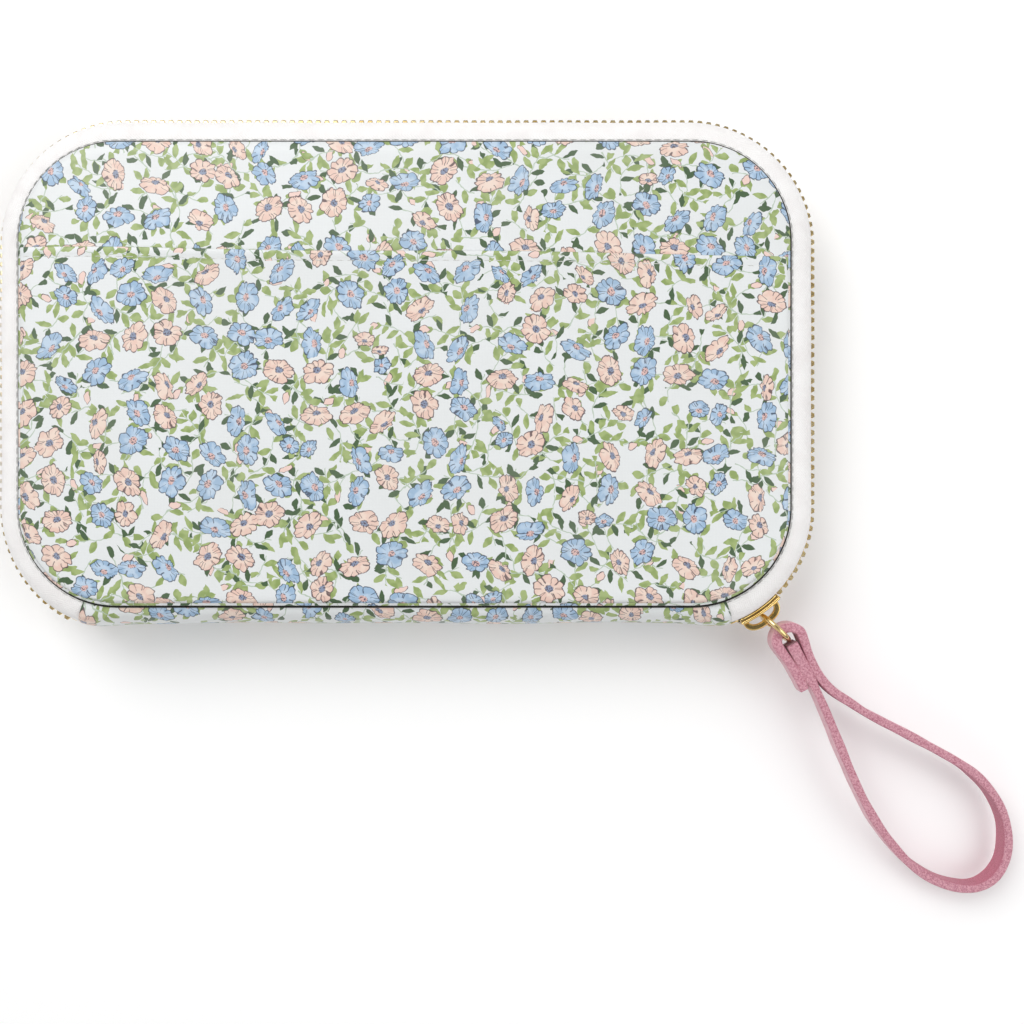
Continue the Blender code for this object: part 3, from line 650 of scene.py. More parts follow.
def coverSheet(name, edgeZ, sign, inset, crown, thickness, finish, body):
    # rings stepped in from the rounded outline, then shrunk to the middle; height from coverRise
    count = 320
    steps = np.array([0, 0.2, 0.5, 0.9, 1.4, 2.0, 2.8, 3.8, 5.0, 7.0, 9.5, 12.5, 16, 20]) * mm
    rings = [coverRing(count, -inset - step) for step in steps]
    rings += [rings[-1] * s for s in np.linspace(1, 0, 22)[1:-1]]
    flat = np.stack(rings)
    points = np.concatenate([flat, np.zeros((*flat.shape[:2], 1))], axis=2)
    rise = coverRise(points[..., 0], points[..., 1], crown)
    points[..., 2] = edgeZ + sign * rise
    faces = gridFaces(len(rings), count, wrapV=True)
    if sign < 0:
        faces = faces[:, ::-1]
    centre = len(rings) * count
    last = (len(rings) - 1) * count
    faces = faces.tolist()
    for j in range(count):
        fan = [last + j, last + (j + 1) % count, centre]
        faces.append(fan if sign > 0 else fan[::-1])
    middle = [0, 0, edgeZ + sign * float(coverRise(np.array(0.0), np.array(0.0), crown))]
    points = np.concatenate([points.reshape(-1, 3), [middle]])
    obj = makeObject(name, points, faces, finish, body)
    return thicken(obj, thickness)


def addCovers():
    made = []
    for name, node, z, sign, finish, body in (
        ("front_cover_canvas", "front_panel", frontTop, 1, canvasPanel, "front_cover"),
        ("back_cover_canvas", "back_panel", 0.0, -1, canvasBack, "back_cover"),
    ):
        crown = cover["crown"] if sign > 0 else cover["backCrown"]
        obj = coverSheet(name, z, sign, 0.32 * mm, crown, cover["canvas"], finish, body)
        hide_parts(node)
        made.append(obj)
    for name, node, z, sign, body in (
        ("front_cover_lining", "front_lining", 23.6 * mm, -1, "front_cover"),
        ("back_cover_lining", "back_lining", 3.4 * mm, 1, "back_cover"),
    ):
        obj = coverSheet(name, z, sign, 0.7 * mm, 0.0, cover["lining"], lining, body)
        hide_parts(node)
        made.append(obj)
    return made


def addPad(name, node, low, high, body):
    # a felt board in each cover: closed lens of rings, thin at its rim
    count = 160
    insets = np.array([6.0, 6.15, 6.6, 8.0, 12.0, 20.0]) * mm
    half = (high - low) / 2
    thick = half * np.array([0.35, 0.75, 0.95, 1.0, 1.0, 1.0])
    rings = [coverRing(count, -i) for i in insets]
    rings += [rings[-1] * s for s in (0.75, 0.5, 0.25, 0.06)]
    thick = np.concatenate([thick, np.full(4, half)])
    mid = (low + high) / 2
    top = np.concatenate([np.stack(rings),
                          np.broadcast_to((mid + thick)[:, None, None], (len(rings), count, 1))], axis=2)
    under = np.concatenate([np.stack(rings),
                            np.broadcast_to((mid - thick)[:, None, None], (len(rings), count, 1))], axis=2)
    grid = np.concatenate([top[::-1], under])
    obj = surface(name, grid, padCloth, body, wrapV=True, caps=True, flip=True)
    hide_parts(node)
    return obj


def stitchRow(name, lines, finish, body, pitch=2.6 * mm, stitch=1.9 * mm, wire=0.16 * mm):
    # short thread loops laid along lines of (points, normals): each dips into the cloth at both ends
    share = np.linspace(0, 1, 7)
    angle = fullTurn(6)
    rings = []
    for line, up in lines:
        line, up = np.asarray(line, float), np.broadcast_to(np.asarray(up, float), np.shape(line))
        length = lengthAlong(line)
        count = max(1, int(length[-1] / pitch))
        at = ((np.arange(count) + 0.5) * length[-1] / count - stitch / 2)[:, None] + stitch * share[None, :]
        centre = np.stack([np.interp(at, length, line[:, k]) for k in range(3)], axis=2)
        lift = np.stack([np.interp(at, length, up[:, k]) for k in range(3)], axis=2)
        along = np.gradient(centre, axis=1)
        along /= np.linalg.norm(along, axis=2, keepdims=True)
        side = np.cross(along, lift)
        side /= np.linalg.norm(side, axis=2, keepdims=True)
        centre = centre + lift * ((np.sin(pi * share) ** 0.5 * 1.6 - 0.9) * wire)[None, :, None]
        round6 = side[:, :, None] * np.cos(angle)[:, None] + lift[:, :, None] * np.sin(angle)[:, None]
        rings.append(centre[:, :, None] + wire * round6)
    ring = np.concatenate(rings)
    base = gridFaces(7, 6, wrapV=True)[:, ::-1].tolist() + [[0, 1, 2, 3, 4, 5], [41, 40, 39, 38, 37, 36]]
    faces = [[v + k * 42 for v in face] for k in range(len(ring)) for face in base]
    return makeObject(name, ring, faces, finish, body)


slipPocket = {"leftTop": 35.8 * mm, "rightTop": 33.3 * mm, "inset": 0.55 * mm, "above": 0.95 * mm,
              "gape": 0.5 * mm,
              "gapeReach": 14 * mm, "thickness": 0.45 * mm}


def addPocket():
    # a flat pocket over the front canvas: columns from the bottom edge to the folded top edge
    left, right = slipPocket["leftTop"], slipPocket["rightTop"]
    count = 150
    bend = 14
    middle = np.linspace(-1, 1, count - 2 * bend)[1:-1] * cornerCentre[0]
    turn = np.linspace(pi / 2, 0, bend + 1)
    edgeX = cornerCentre[0] + (cornerRadius - slipPocket["inset"]) * np.cos(turn)
    xs = np.concatenate([-edgeX[::-1], middle, edgeX])
    inner = np.maximum(np.abs(xs) - cornerCentre[0], 0)
    bottom = -cornerCentre[1] - np.sqrt(np.maximum((cornerRadius - slipPocket["inset"]) ** 2 - inner**2, 0))
    top = np.interp(xs, [-panelHalf[0], panelHalf[0]], [left, right]) + 0.25 * mm * np.sin(xs / (19 * mm))
    share = np.concatenate([np.linspace(0, 0.08, 9), np.linspace(0.08, 0.93, 42)[1:],
                            np.linspace(0.93, 1.0, 12)[1:]])
    y = bottom[:, None] + (top - bottom)[:, None] * share[None, :]
    x = np.repeat(xs[:, None], len(share), axis=1)
    # the hem: a soft swell over the stitched fold, and the mouth gapes a little in the middle
    below = top[:, None] - y
    hem = 0.13 * mm * np.exp(-(((below - 1.2 * mm)
            / (1.1 * mm)) ** 2)) - 0.08 * mm * np.exp(-(((below - 2.5 * mm) / (0.5 * mm)) ** 2))
    gape = slipPocket["gape"] * np.clip(1 - below / slipPocket["gapeReach"], 0,
                                        1) ** 2 * np.clip(1 - (np.abs(x) / panelHalf[0]) ** 4, 0, 1)
    z = frontTop + slipPocket["above"] + coverRise(x, y, cover["crown"]) + hem + gape
    fold = np.array([[0.10, -0.05], [0.28, -0.25], [0.30, -0.5], [0.16, -0.72], [-0.2, -0.80],
                     [-2.6, -0.80]]) * mm
    foldY = top[:, None] + fold[None, :, 0]
    foldZ = z[:, -1:] + fold[None, :, 1]
    foldX = np.repeat(xs[:, None], len(fold), axis=1)
    grid = np.stack([np.concatenate([x, foldX], 1), np.concatenate([y, foldY], 1),
                     np.concatenate([z, foldZ], 1)], axis=2)
    obj = surface("front_slip_pocket", grid, canvasPocket, "front_cover")
    thicken(obj, slipPocket["thickness"])
    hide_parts("front_pocket")
    lineX = np.linspace(-panelHalf[0] + 1.0 * mm, panelHalf[0] - 1.0 * mm, 200)
    lineY = np.interp(lineX, xs, top) - 2.5 * mm
    lineZ = np.array(frontTop + slipPocket["above"] + coverRise(lineX, lineY, cover["crown"]) - 0.1 * mm)
    lineZ += slipPocket["gape"] * (1 - 2.5 / 14) ** 2 * np.clip(1 - (np.abs(lineX) / panelHalf[0]) ** 4, 0, 1)
    points = np.stack([lineX, lineY, lineZ], axis=1)
    stitches = stitchRow("slip_pocket_stitches", [(points, (0, 0, 1.0))], whiteThread, "front_cover",
                         3.0 * mm, 2.3 * mm, 0.11 * mm)
    return obj, stitches


seamShadowRadius = 0.28 * mm


def addSeamShadowCord(name, out, z, body):
    # a thin dark cord sunk in the groove round each cover, as painted shade standing in for the seam's shadow
    # line
    ring = np.concatenate([coverRing(480, out), np.full((480, 1), z)], axis=1)
    after, before = np.roll(ring, -1, 0), np.roll(ring, 1, 0)
    along = (after - before) / np.linalg.norm(after - before, axis=1)[:, None]
    side = np.cross(along, [0, 0, 1.0])
    angle = fullTurn(8)
    cord = side[:, None] * np.cos(angle)[None, :, None] + np.array([0, 0, 1.0]) * np.sin(angle)[None, :, None]
    return surface(name, ring[:, None] + seamShadowRadius * cord, seamShadowCord, body, wrapU=True, wrapV=True, flip=True)


addCovers()
# the two dark cords are painted shade for the shadow lines round the covers' seams
addSeamShadowCord("front_seam_shadow_cord", 0.62 * mm, 25.42 * mm, "front_cover")
addSeamShadowCord("back_seam_shadow_cord", 0.2 * mm, 1.5 * mm, "back_cover")
addPad("front_board", "front_stiffener", 24.45 * mm, 25.9 * mm, "front_cover")
addPad("back_board", "back_stiffener", 1.1 * mm, 2.6 * mm, "back_cover")
addPocket()
print("covers made")


zipTape = {"flare": 7.95, "shoulder": 4.9, "stitchOut": 1.35, "wave": 0.10 * mm, "thickness": 0.55 * mm}


def addTape(name, node, side, rise, start, end, body):
    # stations round the outline; the section leaves the seam, flares out a quarter turn and ends upright
    path = zipPath(start, end, 1.2 * mm)
    centres, outs, length = path
    flare, shoulder, stitchOut = zipTape["flare"], zipTape["shoulder"], zipTape["stitchOut"]
    t = np.radians(np.linspace(4, 90, 14))
    arcO, arcZ = flare * np.sin(t), shoulder + (rise - shoulder) * np.cos(t)
    o = np.concatenate([[-1.0, -0.3, 0.0, 0.16, 0.30], arcO, [flare + 0.02, flare, flare]]) * mm
    z = np.concatenate([[rise - 1.7, rise - 1.7, rise - 1.6, rise - 0.9, rise - 0.25], arcZ,
                        [4.1, 3.2, 1.4]]) * mm
    points = place(centres, outs, o, midZ + side * z)
    if side > 0:
        # by the parked slider the tape stops at its shoulder
        angle = np.arctan2(outs[:, 1], outs[:, 0])
        short = np.clip((radians(-41) - angle) / radians(3), 0, 1) * (centres[:, 1] < 0) * (centres[:, 0] > 0)
        for k, height in ((-3, 4.85), (-2, 4.8), (-1, 4.75)):
            points[:, k, 2] += (midZ + height * mm - points[:, k, 2]) * short
    wave = zipTape["wave"] * np.sin(length / (5.5 * mm)) * np.sin(length / (31 * mm) + side)
    share = np.sin(np.linspace(0, pi, len(o)))
    points[..., :2] += outs[:, None, :] * (wave[:, None] * share[None, :])[..., None]
    across = np.concatenate([[0], np.cumsum(np.hypot(np.diff(o), np.diff(z)))])
    uv = np.stack(np.broadcast_arrays(length[:, None], across[None, :]), axis=2)
    obj = surface(name, points, whiteTape, body, uv=uv, flip=side > 0)
    thicken(obj, zipTape["thickness"])
    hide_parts(node)
    # a row of stitches just outside the seam
    o2 = stitchOut * mm
    z2 = shoulder * mm + (rise - shoulder) * mm * np.cos(np.arcsin(stitchOut / flare))
    line = place(centres, outs, [o2], [midZ + side * z2])[:, 0]
    normal = np.concatenate([outs * 0.16, np.full((len(outs), 1), side * 0.987)], axis=1)
    stitches = stitchRow(name + "_stitches", [(line, normal)], whiteThread, body, 2.7 * mm, 2.1 * mm,
                         0.13 * mm)
    return obj, stitches


def stampTeeth(name, node, centres, across, along, up, rings, finish, body):
    # each tooth is a stack of eight-sided rings: clamped legs, waist, then the nib past the middle
    corner = np.array([[1, -0.5], [1, 0.5], [0.62, 1], [-0.62, 1], [-1, 0.5], [-1, -0.5], [-0.62, -1],
                       [0.62, -1]])
    shift = rings[:, 1:2] * corner[None, :, 0]
    middle, half = (rings[:, 2:3] + rings[:, 3:4]) / 2, (rings[:, 3:4] - rings[:, 2:3]) / 2
    reach = middle + half * corner[None, :, 1]
    level = np.broadcast_to(rings[:, :1], reach.shape)
    jitter = 0.04 * mm * np.sin(np.arange(len(centres)) * 12.9898)[:, None, None]
    points = centres[:, None, None] + along[:, None, None] * shift[None, ..., None]
    points = points + across[:, None, None] * reach[None, ..., None] + up[:, None,
            None] * (level[None] + jitter)[..., None]
    rows = len(rings)
    base = gridFaces(rows, 8, wrapV=True).tolist() + [list(range(8))[::-1],
                                                      [v + (rows - 1) * 8 for v in range(8)]]
    if np.linalg.det(np.stack([along[0], across[0], up[0]])) > 0:
        base = [face[::-1] for face in base]
    faces = [[v + k * rows * 8 for v in face] for k in range(len(centres)) for face in base]
    obj = makeObject(name, points, faces, finish, body, smooth=False)
    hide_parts(node)
    return obj


def addTeeth(name, node, side, start, end, body):
    # one stamped tooth per pitch, all square to the seam outline
    pitch = 2.56 * mm
    path = zipPath(start, end, 0.6 * mm)
    count = int(path[2][-1] / pitch)
    middle, outs = evenPath(path, 0.7 * mm + pitch * np.arange(count))
    across = np.concatenate([outs, np.zeros((count, 1))], axis=1)
    along = np.stack([-outs[:, 1], outs[:, 0], np.zeros(count)], axis=1)
    up = np.tile([0, 0, float(side)], (count, 1))
    centres = np.concatenate([middle, np.full((count, 1), midZ)], axis=1) + across * cornerRadius
    rings = np.array([
        [2.78, 0.70, 7.05, 9.40], [2.62, 0.86, 6.85, 9.66], [1.40, 0.86, 6.85, 9.70], [1.05, 0.70, 7.05, 9.5],
        [0.60, 0.54, 7.25, 9.25], [-0.62, 0.52, 7.3, 9.2], [-0.86, 0.36, 7.6, 8.9],
    ]) * mm
    return stampTeeth(name, node, centres, across, along, up, rings, paleGold, body)


def refined(name, node, finish, body, bevel, segments=3):
    # the frame's own metal shape with its edges softened
    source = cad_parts[node]
    mesh = source.data.copy()
    mesh.transform(source.matrix_world)
    mesh.name = name
    shape = bmesh.new()
    shape.from_mesh(mesh)
    bmesh.ops.remove_doubles(shape, verts=shape.verts, dist=1e-6)
    bmesh.ops.dissolve_limit(shape, angle_limit=radians(1.0), verts=shape.verts, edges=shape.edges)
    bmesh.ops.recalc_face_normals(shape, faces=shape.faces)
    shape.to_mesh(mesh)
    shape.free()
    mesh.materials.clear()
    mesh.materials.append(finish)
    mesh.shade_smooth()
    obj = bpy.data.objects.new(name, mesh)
    bpy.context.scene.collection.objects.link(obj)
    edge = obj.modifiers.new("edge", "BEVEL")
    edge.width = bevel
    edge.segments = segments
    edge.limit_method = "ANGLE"
    edge.angle_limit = radians(28)
    shade = obj.modifiers.new("shade", "WEIGHTED_NORMAL")
    shade.keep_sharp = False
    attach(obj, body)
    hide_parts(node)
    return obj


def arcBar(name, start, end, inner, outer, low, high, finish, body):
    # a rounded bar bent round the zip's corner, its section an eased rectangle and its ends drawn in
    centres, outs, length = zipPath(start, end, 0.5 * mm)
    turn = fullTurn(24)
    squareness, ease = 0.35, 0.22 * mm
    across = np.sign(np.cos(turn)) * np.abs(np.cos(turn)) ** squareness
    up = np.sign(np.sin(turn)) * np.abs(np.sin(turn)) ** squareness
    fromEnd = np.minimum(length, length[-1] - length)
    tuck = 1 - np.clip(1 - fromEnd / (0.5 * mm), 0, 1) ** 2 * 0.45
    o = (inner + outer) / 2 + (outer - inner) / 2 * across[None] * tuck[:, None]
    z = (low + high) / 2 + (high - low) / 2 * up[None] * (1 - (1 - tuck[:, None]) * ease / (high - low) * 4)
    xy = centres[:, None] + outs[:, None] * (cornerRadius + o)[..., None]
    points = np.concatenate([xy, (midZ + z)[..., None]], axis=2)
    return surface(name, points, finish, body, wrapV=True, caps=True, flip=True)


def addRing():
    # a torus of round wire with a fine split at its lowest point
    low, high = (np.array(v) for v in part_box("jump_ring"))
    centre = (low + high) / 2
    heading = radians(-43)
    across = np.array([np.cos(heading), np.sin(heading), 0])
    aside = np.array([-across[1], across[0], 0])
    meanRadius, wire = 5.3 * mm, 0.74 * mm
    turn = np.linspace(radians(-88.9), radians(268.9), 120)
    out = across[None] * np.cos(turn)[:, None] + np.array([0, 0, 1.0])[None] * np.sin(turn)[:, None]
    ends = np.ones(120)
    ends[[0, -1]] = 0.7
    angle = fullTurn(24)
    ring = out[:, None] * (meanRadius + wire * ends[:, None, None] * np.cos(angle)[None, :, None])
    ring = ring + aside * (wire * ends[:, None, None] * np.sin(angle)[None, :, None])
    obj = surface("split_ring", centre + ring, ringGold, "ring", wrapV=True, caps=True)
    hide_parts("jump_ring")
    return obj


addTape("front_tape", "front_zip_tape", 1, 11.05, -71.0, 251.0, "front_cover")
addTape("back_tape", "back_zip_tape", -1, 12.15, -71.0, 251.0, "back_cover")
addTeeth("front_teeth", "front_zip_teeth", 1, -43.3, 245.8, "front_cover")
addTeeth("back_teeth", "back_zip_teeth", -1, -65.8, 245.8, "back_cover")
refined("zip_slider", "slider_body", gold, "slider", 0.24 * mm)
refined("slider_arch", "slider_bail", gold, "slider", 0.42 * mm, 4)
refined("right_end_stop", "zip_end_stop_right", gold, "back_cover", 0.3 * mm)
refined("left_end_stop", "zip_end_stop_left", gold, "back_cover", 0.3 * mm)
arcBar("slider_front_rail", -65.2, -44.2, 9.05 * mm, 10.25 * mm, -4.9 * mm, 4.95 * mm, gold, "slider")
arcBar("slider_rear_rail", -64.6, -44.8, 8.05 * mm, 8.72 * mm, 3.3 * mm, 4.8 * mm, gold, "slider")
arcBar("slider_rear_rail_low", -64.6, -44.8, 8.05 * mm, 8.72 * mm, -4.8 * mm, -3.3 * mm, gold, "slider")
addRing()
print("zip made")


strap = {"thickness": 2.7 * mm, "width": 7.0 * mm, "heading": -62.0, "fold": 3.95 * mm,
         "hang": (113.06 * mm, -77.7 * mm, 14.05 * mm), "corner": 0.55 * mm}


def smoothLine(knots, perSpan):
    # a Catmull-Rom curve through the knots: each span a cubic of its four nearest knots
    padded = np.vstack([2 * knots[0] - knots[1], knots, 2 * knots[-1] - knots[-2]])
    a, b, c, d = padded[:-3], padded[1:-2], padded[2:-1], padded[3:]
    t = np.linspace(0, 1, perSpan, endpoint=False)[None, :, None]
    a, b, c, d = (v[:, None] for v in (a, b, c, d))
    spans = 0.5 * (2 * b + (c - a) * t + (2 * a - 5 * b + 4 * c - d) * t**2 + (3 * b - a - 3 * c + d) * t**3)
    return np.vstack([spans.reshape(-1, knots.shape[1]), knots[-1:]])


def strapLine():
    # along and across from the ring: out, round the hand loop, back, over the ring, and the outer end
    loop = [(1.15, 0.05), (9.0, 0.1), (18.0, 0.2), (27.0, -0.3), (37.0, -1.1), (47.0, -1.8), (56.0, -2.0),
            (64.0, -1.5),
            (72.0, -0.1), (79.5, 2.1), (86.4, 5.8), (91.8, 10.7), (95.2, 16.4), (95.2, 22.4),
            (91.8, 27.9), (85.7, 31.8),
            (78.8, 33.7), (71.3, 33.6), (64.2, 31.8), (57.6, 28.6), (44.4, 20.0), (31.6, 11.2), (25.8, 7.9),
            (19.7, 4.6), (13.5, 2.98), (7.0, 3.08)]
    turn = np.arange(7) * pi / 6
    fold = np.stack([-strap["fold"] / mm * np.sin(turn), strap["fold"] / mm * np.cos(turn)], axis=1)
    knots = np.vstack([loop, fold, [(5.6, -3.2), (10.0, -2.84), (15.4, -2.78)]]) * mm
    line = smoothLine(knots, 12)
    length = lengthAlong(line)
    even = np.linspace(0, length[-1], int(length[-1] / (0.55 * mm)))
    return np.stack([np.interp(even, length, line[:, k]) for k in range(2)], axis=1), even


def addStrap():
    # a leather strip on its edge: rounded-rectangle section carried along the line
    line, length = strapLine()
    heading = radians(strap["heading"])
    ahead = np.array([np.cos(heading), np.sin(heading)])
    aside = np.array([-ahead[1], ahead[0]])
    hang = np.array(strap["hang"])
    slope = (hang[2] - strap["width"] / 2) / 95.6e-3
    centre = np.empty((len(line), 3))
    centre[:, :2] = hang[:2] + line[:, :1] * ahead + line[:, 1:] * aside
    centre[:, 2] = hang[2] - np.maximum(line[:, 0], 0) * slope
    step = np.gradient(centre[:, :2], axis=0)
    step /= np.linalg.norm(step, axis=1)[:, None]
    left = np.stack([-step[:, 1], step[:, 0]], axis=1)
    # the section, anticlockwise from the foot of the inner face
    halfT, halfW, corner = strap["thickness"] / 2 - 0.05 * mm, strap["width"] / 2, strap["corner"]
    bend = np.linspace(0, pi / 2, 5)[1:-1]
    rise = np.linspace(-halfW + corner, halfW - corner, 9)
    across = np.concatenate([np.full(9, halfT), halfT - corner + corner * np.cos(bend),
                             np.linspace(halfT - corner, corner - halfT, 6),
                             corner - halfT - corner * np.sin(bend), np.full(9, -halfT),
                             corner - halfT - corner * np.cos(bend),
                             np.linspace(corner - halfT, halfT - corner, 6),
                             halfT - corner + corner * np.sin(bend)])
    up = np.concatenate([rise, halfW - corner + corner * np.sin(bend), np.full(6, halfW),
                         halfW - corner + corner * np.cos(bend),
                         rise[::-1], corner - halfW - corner * np.sin(bend), np.full(6, -halfW),
                         corner - halfW - corner * np.cos(bend)])
    cut = np.clip((np.abs(up) - (halfW - corner * 0.75)) / (corner * 0.5), 0, 1)
    inner = (across > 0).astype(float)
    # the folded layers are pressed fat: by the inner end, and round the ring to the outer end
    nearStart = np.clip((15 * mm - length) / (5 * mm), 0, 1)
    nearEnd = np.clip((length - length[-1] + 33 * mm) / (8 * mm), 0, 1)
    fat = 1 + 0.3 * nearStart + 0.13 * nearEnd
    # fuzz on the cut edges, slow waver along the faces, the ends cut square with eased corners
    rng = np.random.default_rng(7)
    rough = rng.normal(0, 1, (len(line), len(up)))
    rough = (rough + np.roll(rough, 1, 0) + np.roll(rough, 1, 1)) / 3
    waver = 0.07 * mm * np.sin(length / (4.3 * mm)) + 0.05 * mm * np.sin(length / (1.9 * mm) + 2)
    grown = across[None] * (fat + waver / halfT)[:,
                                                 None] + 0.05 * mm * rough * cut[None] * np.sign(across)[None]
    lifted = up[None] + 0.06 * mm * rough * cut[None] * np.sign(up)[None]
    ease = np.ones(len(line))
    ease[[0, -1]] = 0.93
    grown, lifted = grown * ease[:, None], lifted * ease[:, None]
    points = np.empty((len(line), len(up), 3))
    points[..., :2] = centre[:, None, :2] + left[:, None] * grown[..., None]
    points[..., 2] = centre[:, None, 2] + lifted
    obj = surface("leather_wrist_strap", points, pinkLeather, "strap", wrapV=True, caps=True)
    side = obj.data.attributes.new("side", "FLOAT_VECTOR", "POINT")
    values = np.zeros((len(line), len(up), 3), np.float32)
    values[..., 0] = cut[None]
    values[[0, -1], :, 0] = 1
    values[..., 1] = inner[None]
    side.data.foreach_set("vector", values.ravel())
    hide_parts("wrist_strap")
    return obj


addStrap()
print("strap made")


def addSpine(name, node, finish, bulge, foot, lowZ, highZ, thickness, start, end, inside):
    # a strip round the closed edge: foot at each cover, bulging out between them in a half ellipse
    centres, outs, length = zipPath(start, end, 1.6 * mm)
    phi = np.linspace(0, pi, 31)
    fromEnd = np.minimum(length, length[-1] - length)
    atEnd = np.exp(-((fromEnd / (8 * mm)) ** 2)) * (not inside)
    swell = bulge + 2.35 * mm * atEnd
    sag = 0.28 * mm * np.sin(length / (11 * mm)) * np.sin(length / (37 * mm) + 1)
    o = foot + (swell + sag)[:, None] * np.sin(phi)[None, :] ** (0.85 - 0.4 * atEnd[:, None])
    pucker = 0.12 * mm * np.sin(length / (1.9 * mm))[:,
            None] * (np.exp(-phi / 0.3) + np.exp(-(pi - phi) / 0.3))[None, :]
    o = o + pucker * (not inside)
    z = (lowZ + highZ) / 2 + (highZ - lowZ) / 2 * np.cos(phi)
    if not inside:
        tuck = np.array([-1.0, -0.3, 0.0]) * mm
        o = np.concatenate([np.tile(tuck, (len(length), 1)), o, np.tile(tuck[::-1], (len(length), 1))],
                           axis=1)
        sink = np.array([1.7, 1.7, 1.5]) * mm
        z = np.concatenate([highZ - sink, z, lowZ + sink[::-1]])
    xy = centres[:, None] + outs[:, None] * (cornerRadius + o)[..., None]
    points = np.concatenate([xy, np.broadcast_to(z[None, :, None], (*xy.shape[:2], 1))], axis=2)
    across = lengthAlong(points[len(length) // 2])
    uv = np.stack(np.broadcast_arrays(length[:, None], across[None, :]), axis=2)
    obj = makeObject(name, points, gridFaces(len(length), len(z))[:, ::-1].tolist(), finish, None, uv)
    thicken(obj, thickness)
    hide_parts(node)
    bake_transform(obj)
    return obj


addSpine("spine_canvas", "spine_gusset", canvasSpine, 6.1 * mm, 0.2 * mm, 1.6 * mm, 25.4 * mm, 0.7 * mm,
         249.6, 290.4, False)
addSpine("spine_cloth", "spine_lining", liningSpine, 5.6 * mm, -1.0 * mm, 4.9 * mm, 23.3 * mm, 0.45 * mm,
         252.5, 287.5, True)
print("spine made")


def flatPocket(name, node, finish, body, low, high, z, side, radius):
    # columns from a rounded foot to a folded top edge, with a slight belly; side 1 faces up, -1 down
    halfX, midX = (high[0] - low[0]) / 2, (high[0] + low[0]) / 2
    turn = np.linspace(pi / 2, 0, 11)
    edgeX = halfX - radius + radius * np.cos(turn)
    xs = np.concatenate([-edgeX[::-1], np.linspace(-1, 1, 62)[1:-1] * (halfX - radius), edgeX])
    inner = np.maximum(np.abs(xs) - (halfX - radius), 0)
    drop = radius - np.sqrt(np.maximum(radius**2 - inner**2, 0))
    foot = low[1] + drop
    top = high[1] - 0.35 * mm * np.cos(xs / halfX * pi / 2)
    share = np.concatenate([np.linspace(0, 0.92, 24), np.linspace(0.92, 1.0, 9)[1:]])
    y = foot[:, None] + (top - foot)[:, None] * share[None, :]
    x = np.repeat(xs[:, None], len(share), axis=1)
    below = top[:, None] - y
    seam = 0.16 * mm * np.exp(-(((below - 1.3 * mm)
            / (0.8 * mm)) ** 2)) - 0.1 * mm * np.exp(-(((below - 2.4 * mm) / (0.4 * mm)) ** 2))
    belly = 0.22 * mm * np.cos(x / halfX * pi / 2) * np.sin(pi * share)[None, :]
    lip = 0.30 * mm * np.clip(1 - below / (9 * mm), 0, 1) ** 2 * np.cos(x / halfX * pi / 2)
    height = seam + belly + lip
    fold = np.array([[0.08, -0.04], [0.2, -0.16], [0.22, -0.3], [0.1, -0.42], [-0.2, -0.48],
                     [-2.4, -0.48]]) * mm
    gridX = np.concatenate([x, np.repeat(xs[:, None], 6, axis=1)], axis=1) + midX
    gridY = np.concatenate([y, top[:, None] + fold[None, :, 0]], axis=1)
    gridZ = z + side * np.concatenate([height, height[:, -1:] + fold[None, :, 1]], axis=1)
    obj = surface(name, np.stack([gridX, gridY, gridZ], axis=2), finish, body, flip=side < 0)
    thicken(obj, 0.22 * mm)
    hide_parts(node)
    inset = 1.7 * mm
    small = radius - inset
    bend = np.linspace(pi, 1.5 * pi, 12)
    corner = np.stack([midX - halfX + radius + small * np.cos(bend),
                       low[1] + radius + small * np.sin(bend)], axis=1)
    across = corner * [-1, 1] + [2 * midX, 0]
    ends = np.array([[corner[0, 0], high[1] - 3.2 * mm]])
    outline = np.vstack([ends, corner, across[::-1], ends * [-1, 1] + [2 * midX, 0]])
    even = lengthAlong(outline)
    at = np.linspace(0, even[-1], 240)
    u = np.stack([np.interp(at, even, outline[:, k]) for k in range(2)]
                 + [np.full(240, z + side * 0.05 * mm)], axis=1)
    hemX = np.linspace(-1, 1, 120) * (halfX - 2.2 * mm)
    bow = np.cos(hemX / halfX * pi / 2)
    hemY = high[1] - 0.35 * mm * bow - 2.4 * mm
    hemLine = np.stack([hemX + midX, hemY, z + side * (0.05 * mm + 0.20 * mm * bow)], axis=1)
    lines = [(line, (0, 0, float(side))) for line in (u, hemLine)]
    stitches = stitchRow(name + "_stitches", lines, blueThread, body, 2.6 * mm, 1.9 * mm, 0.13 * mm)
    return obj


def addCardSide():
    flatPocket("note_pocket_cloth", "note_pocket", lining, "front_cover", (-100 * mm, -60 * mm),
               (100 * mm, 46 * mm), 22.75 * mm, -1, 16 * mm)
    for column, x in (("left", -51 * mm), ("right", 51 * mm)):
        for tier in range(4):
            top = (34 - 12 * tier) * mm
            z = (21.85 - 0.9 * tier) * mm
            flatPocket(f"card_pocket_{column}_{tier + 1}", f"card_slot_{column}_{tier + 1}", pocketCloth,
                       "front_cover",
                       (x - 46 * mm, -58 * mm), (x + 46 * mm, top), z, -1, 6 * mm)


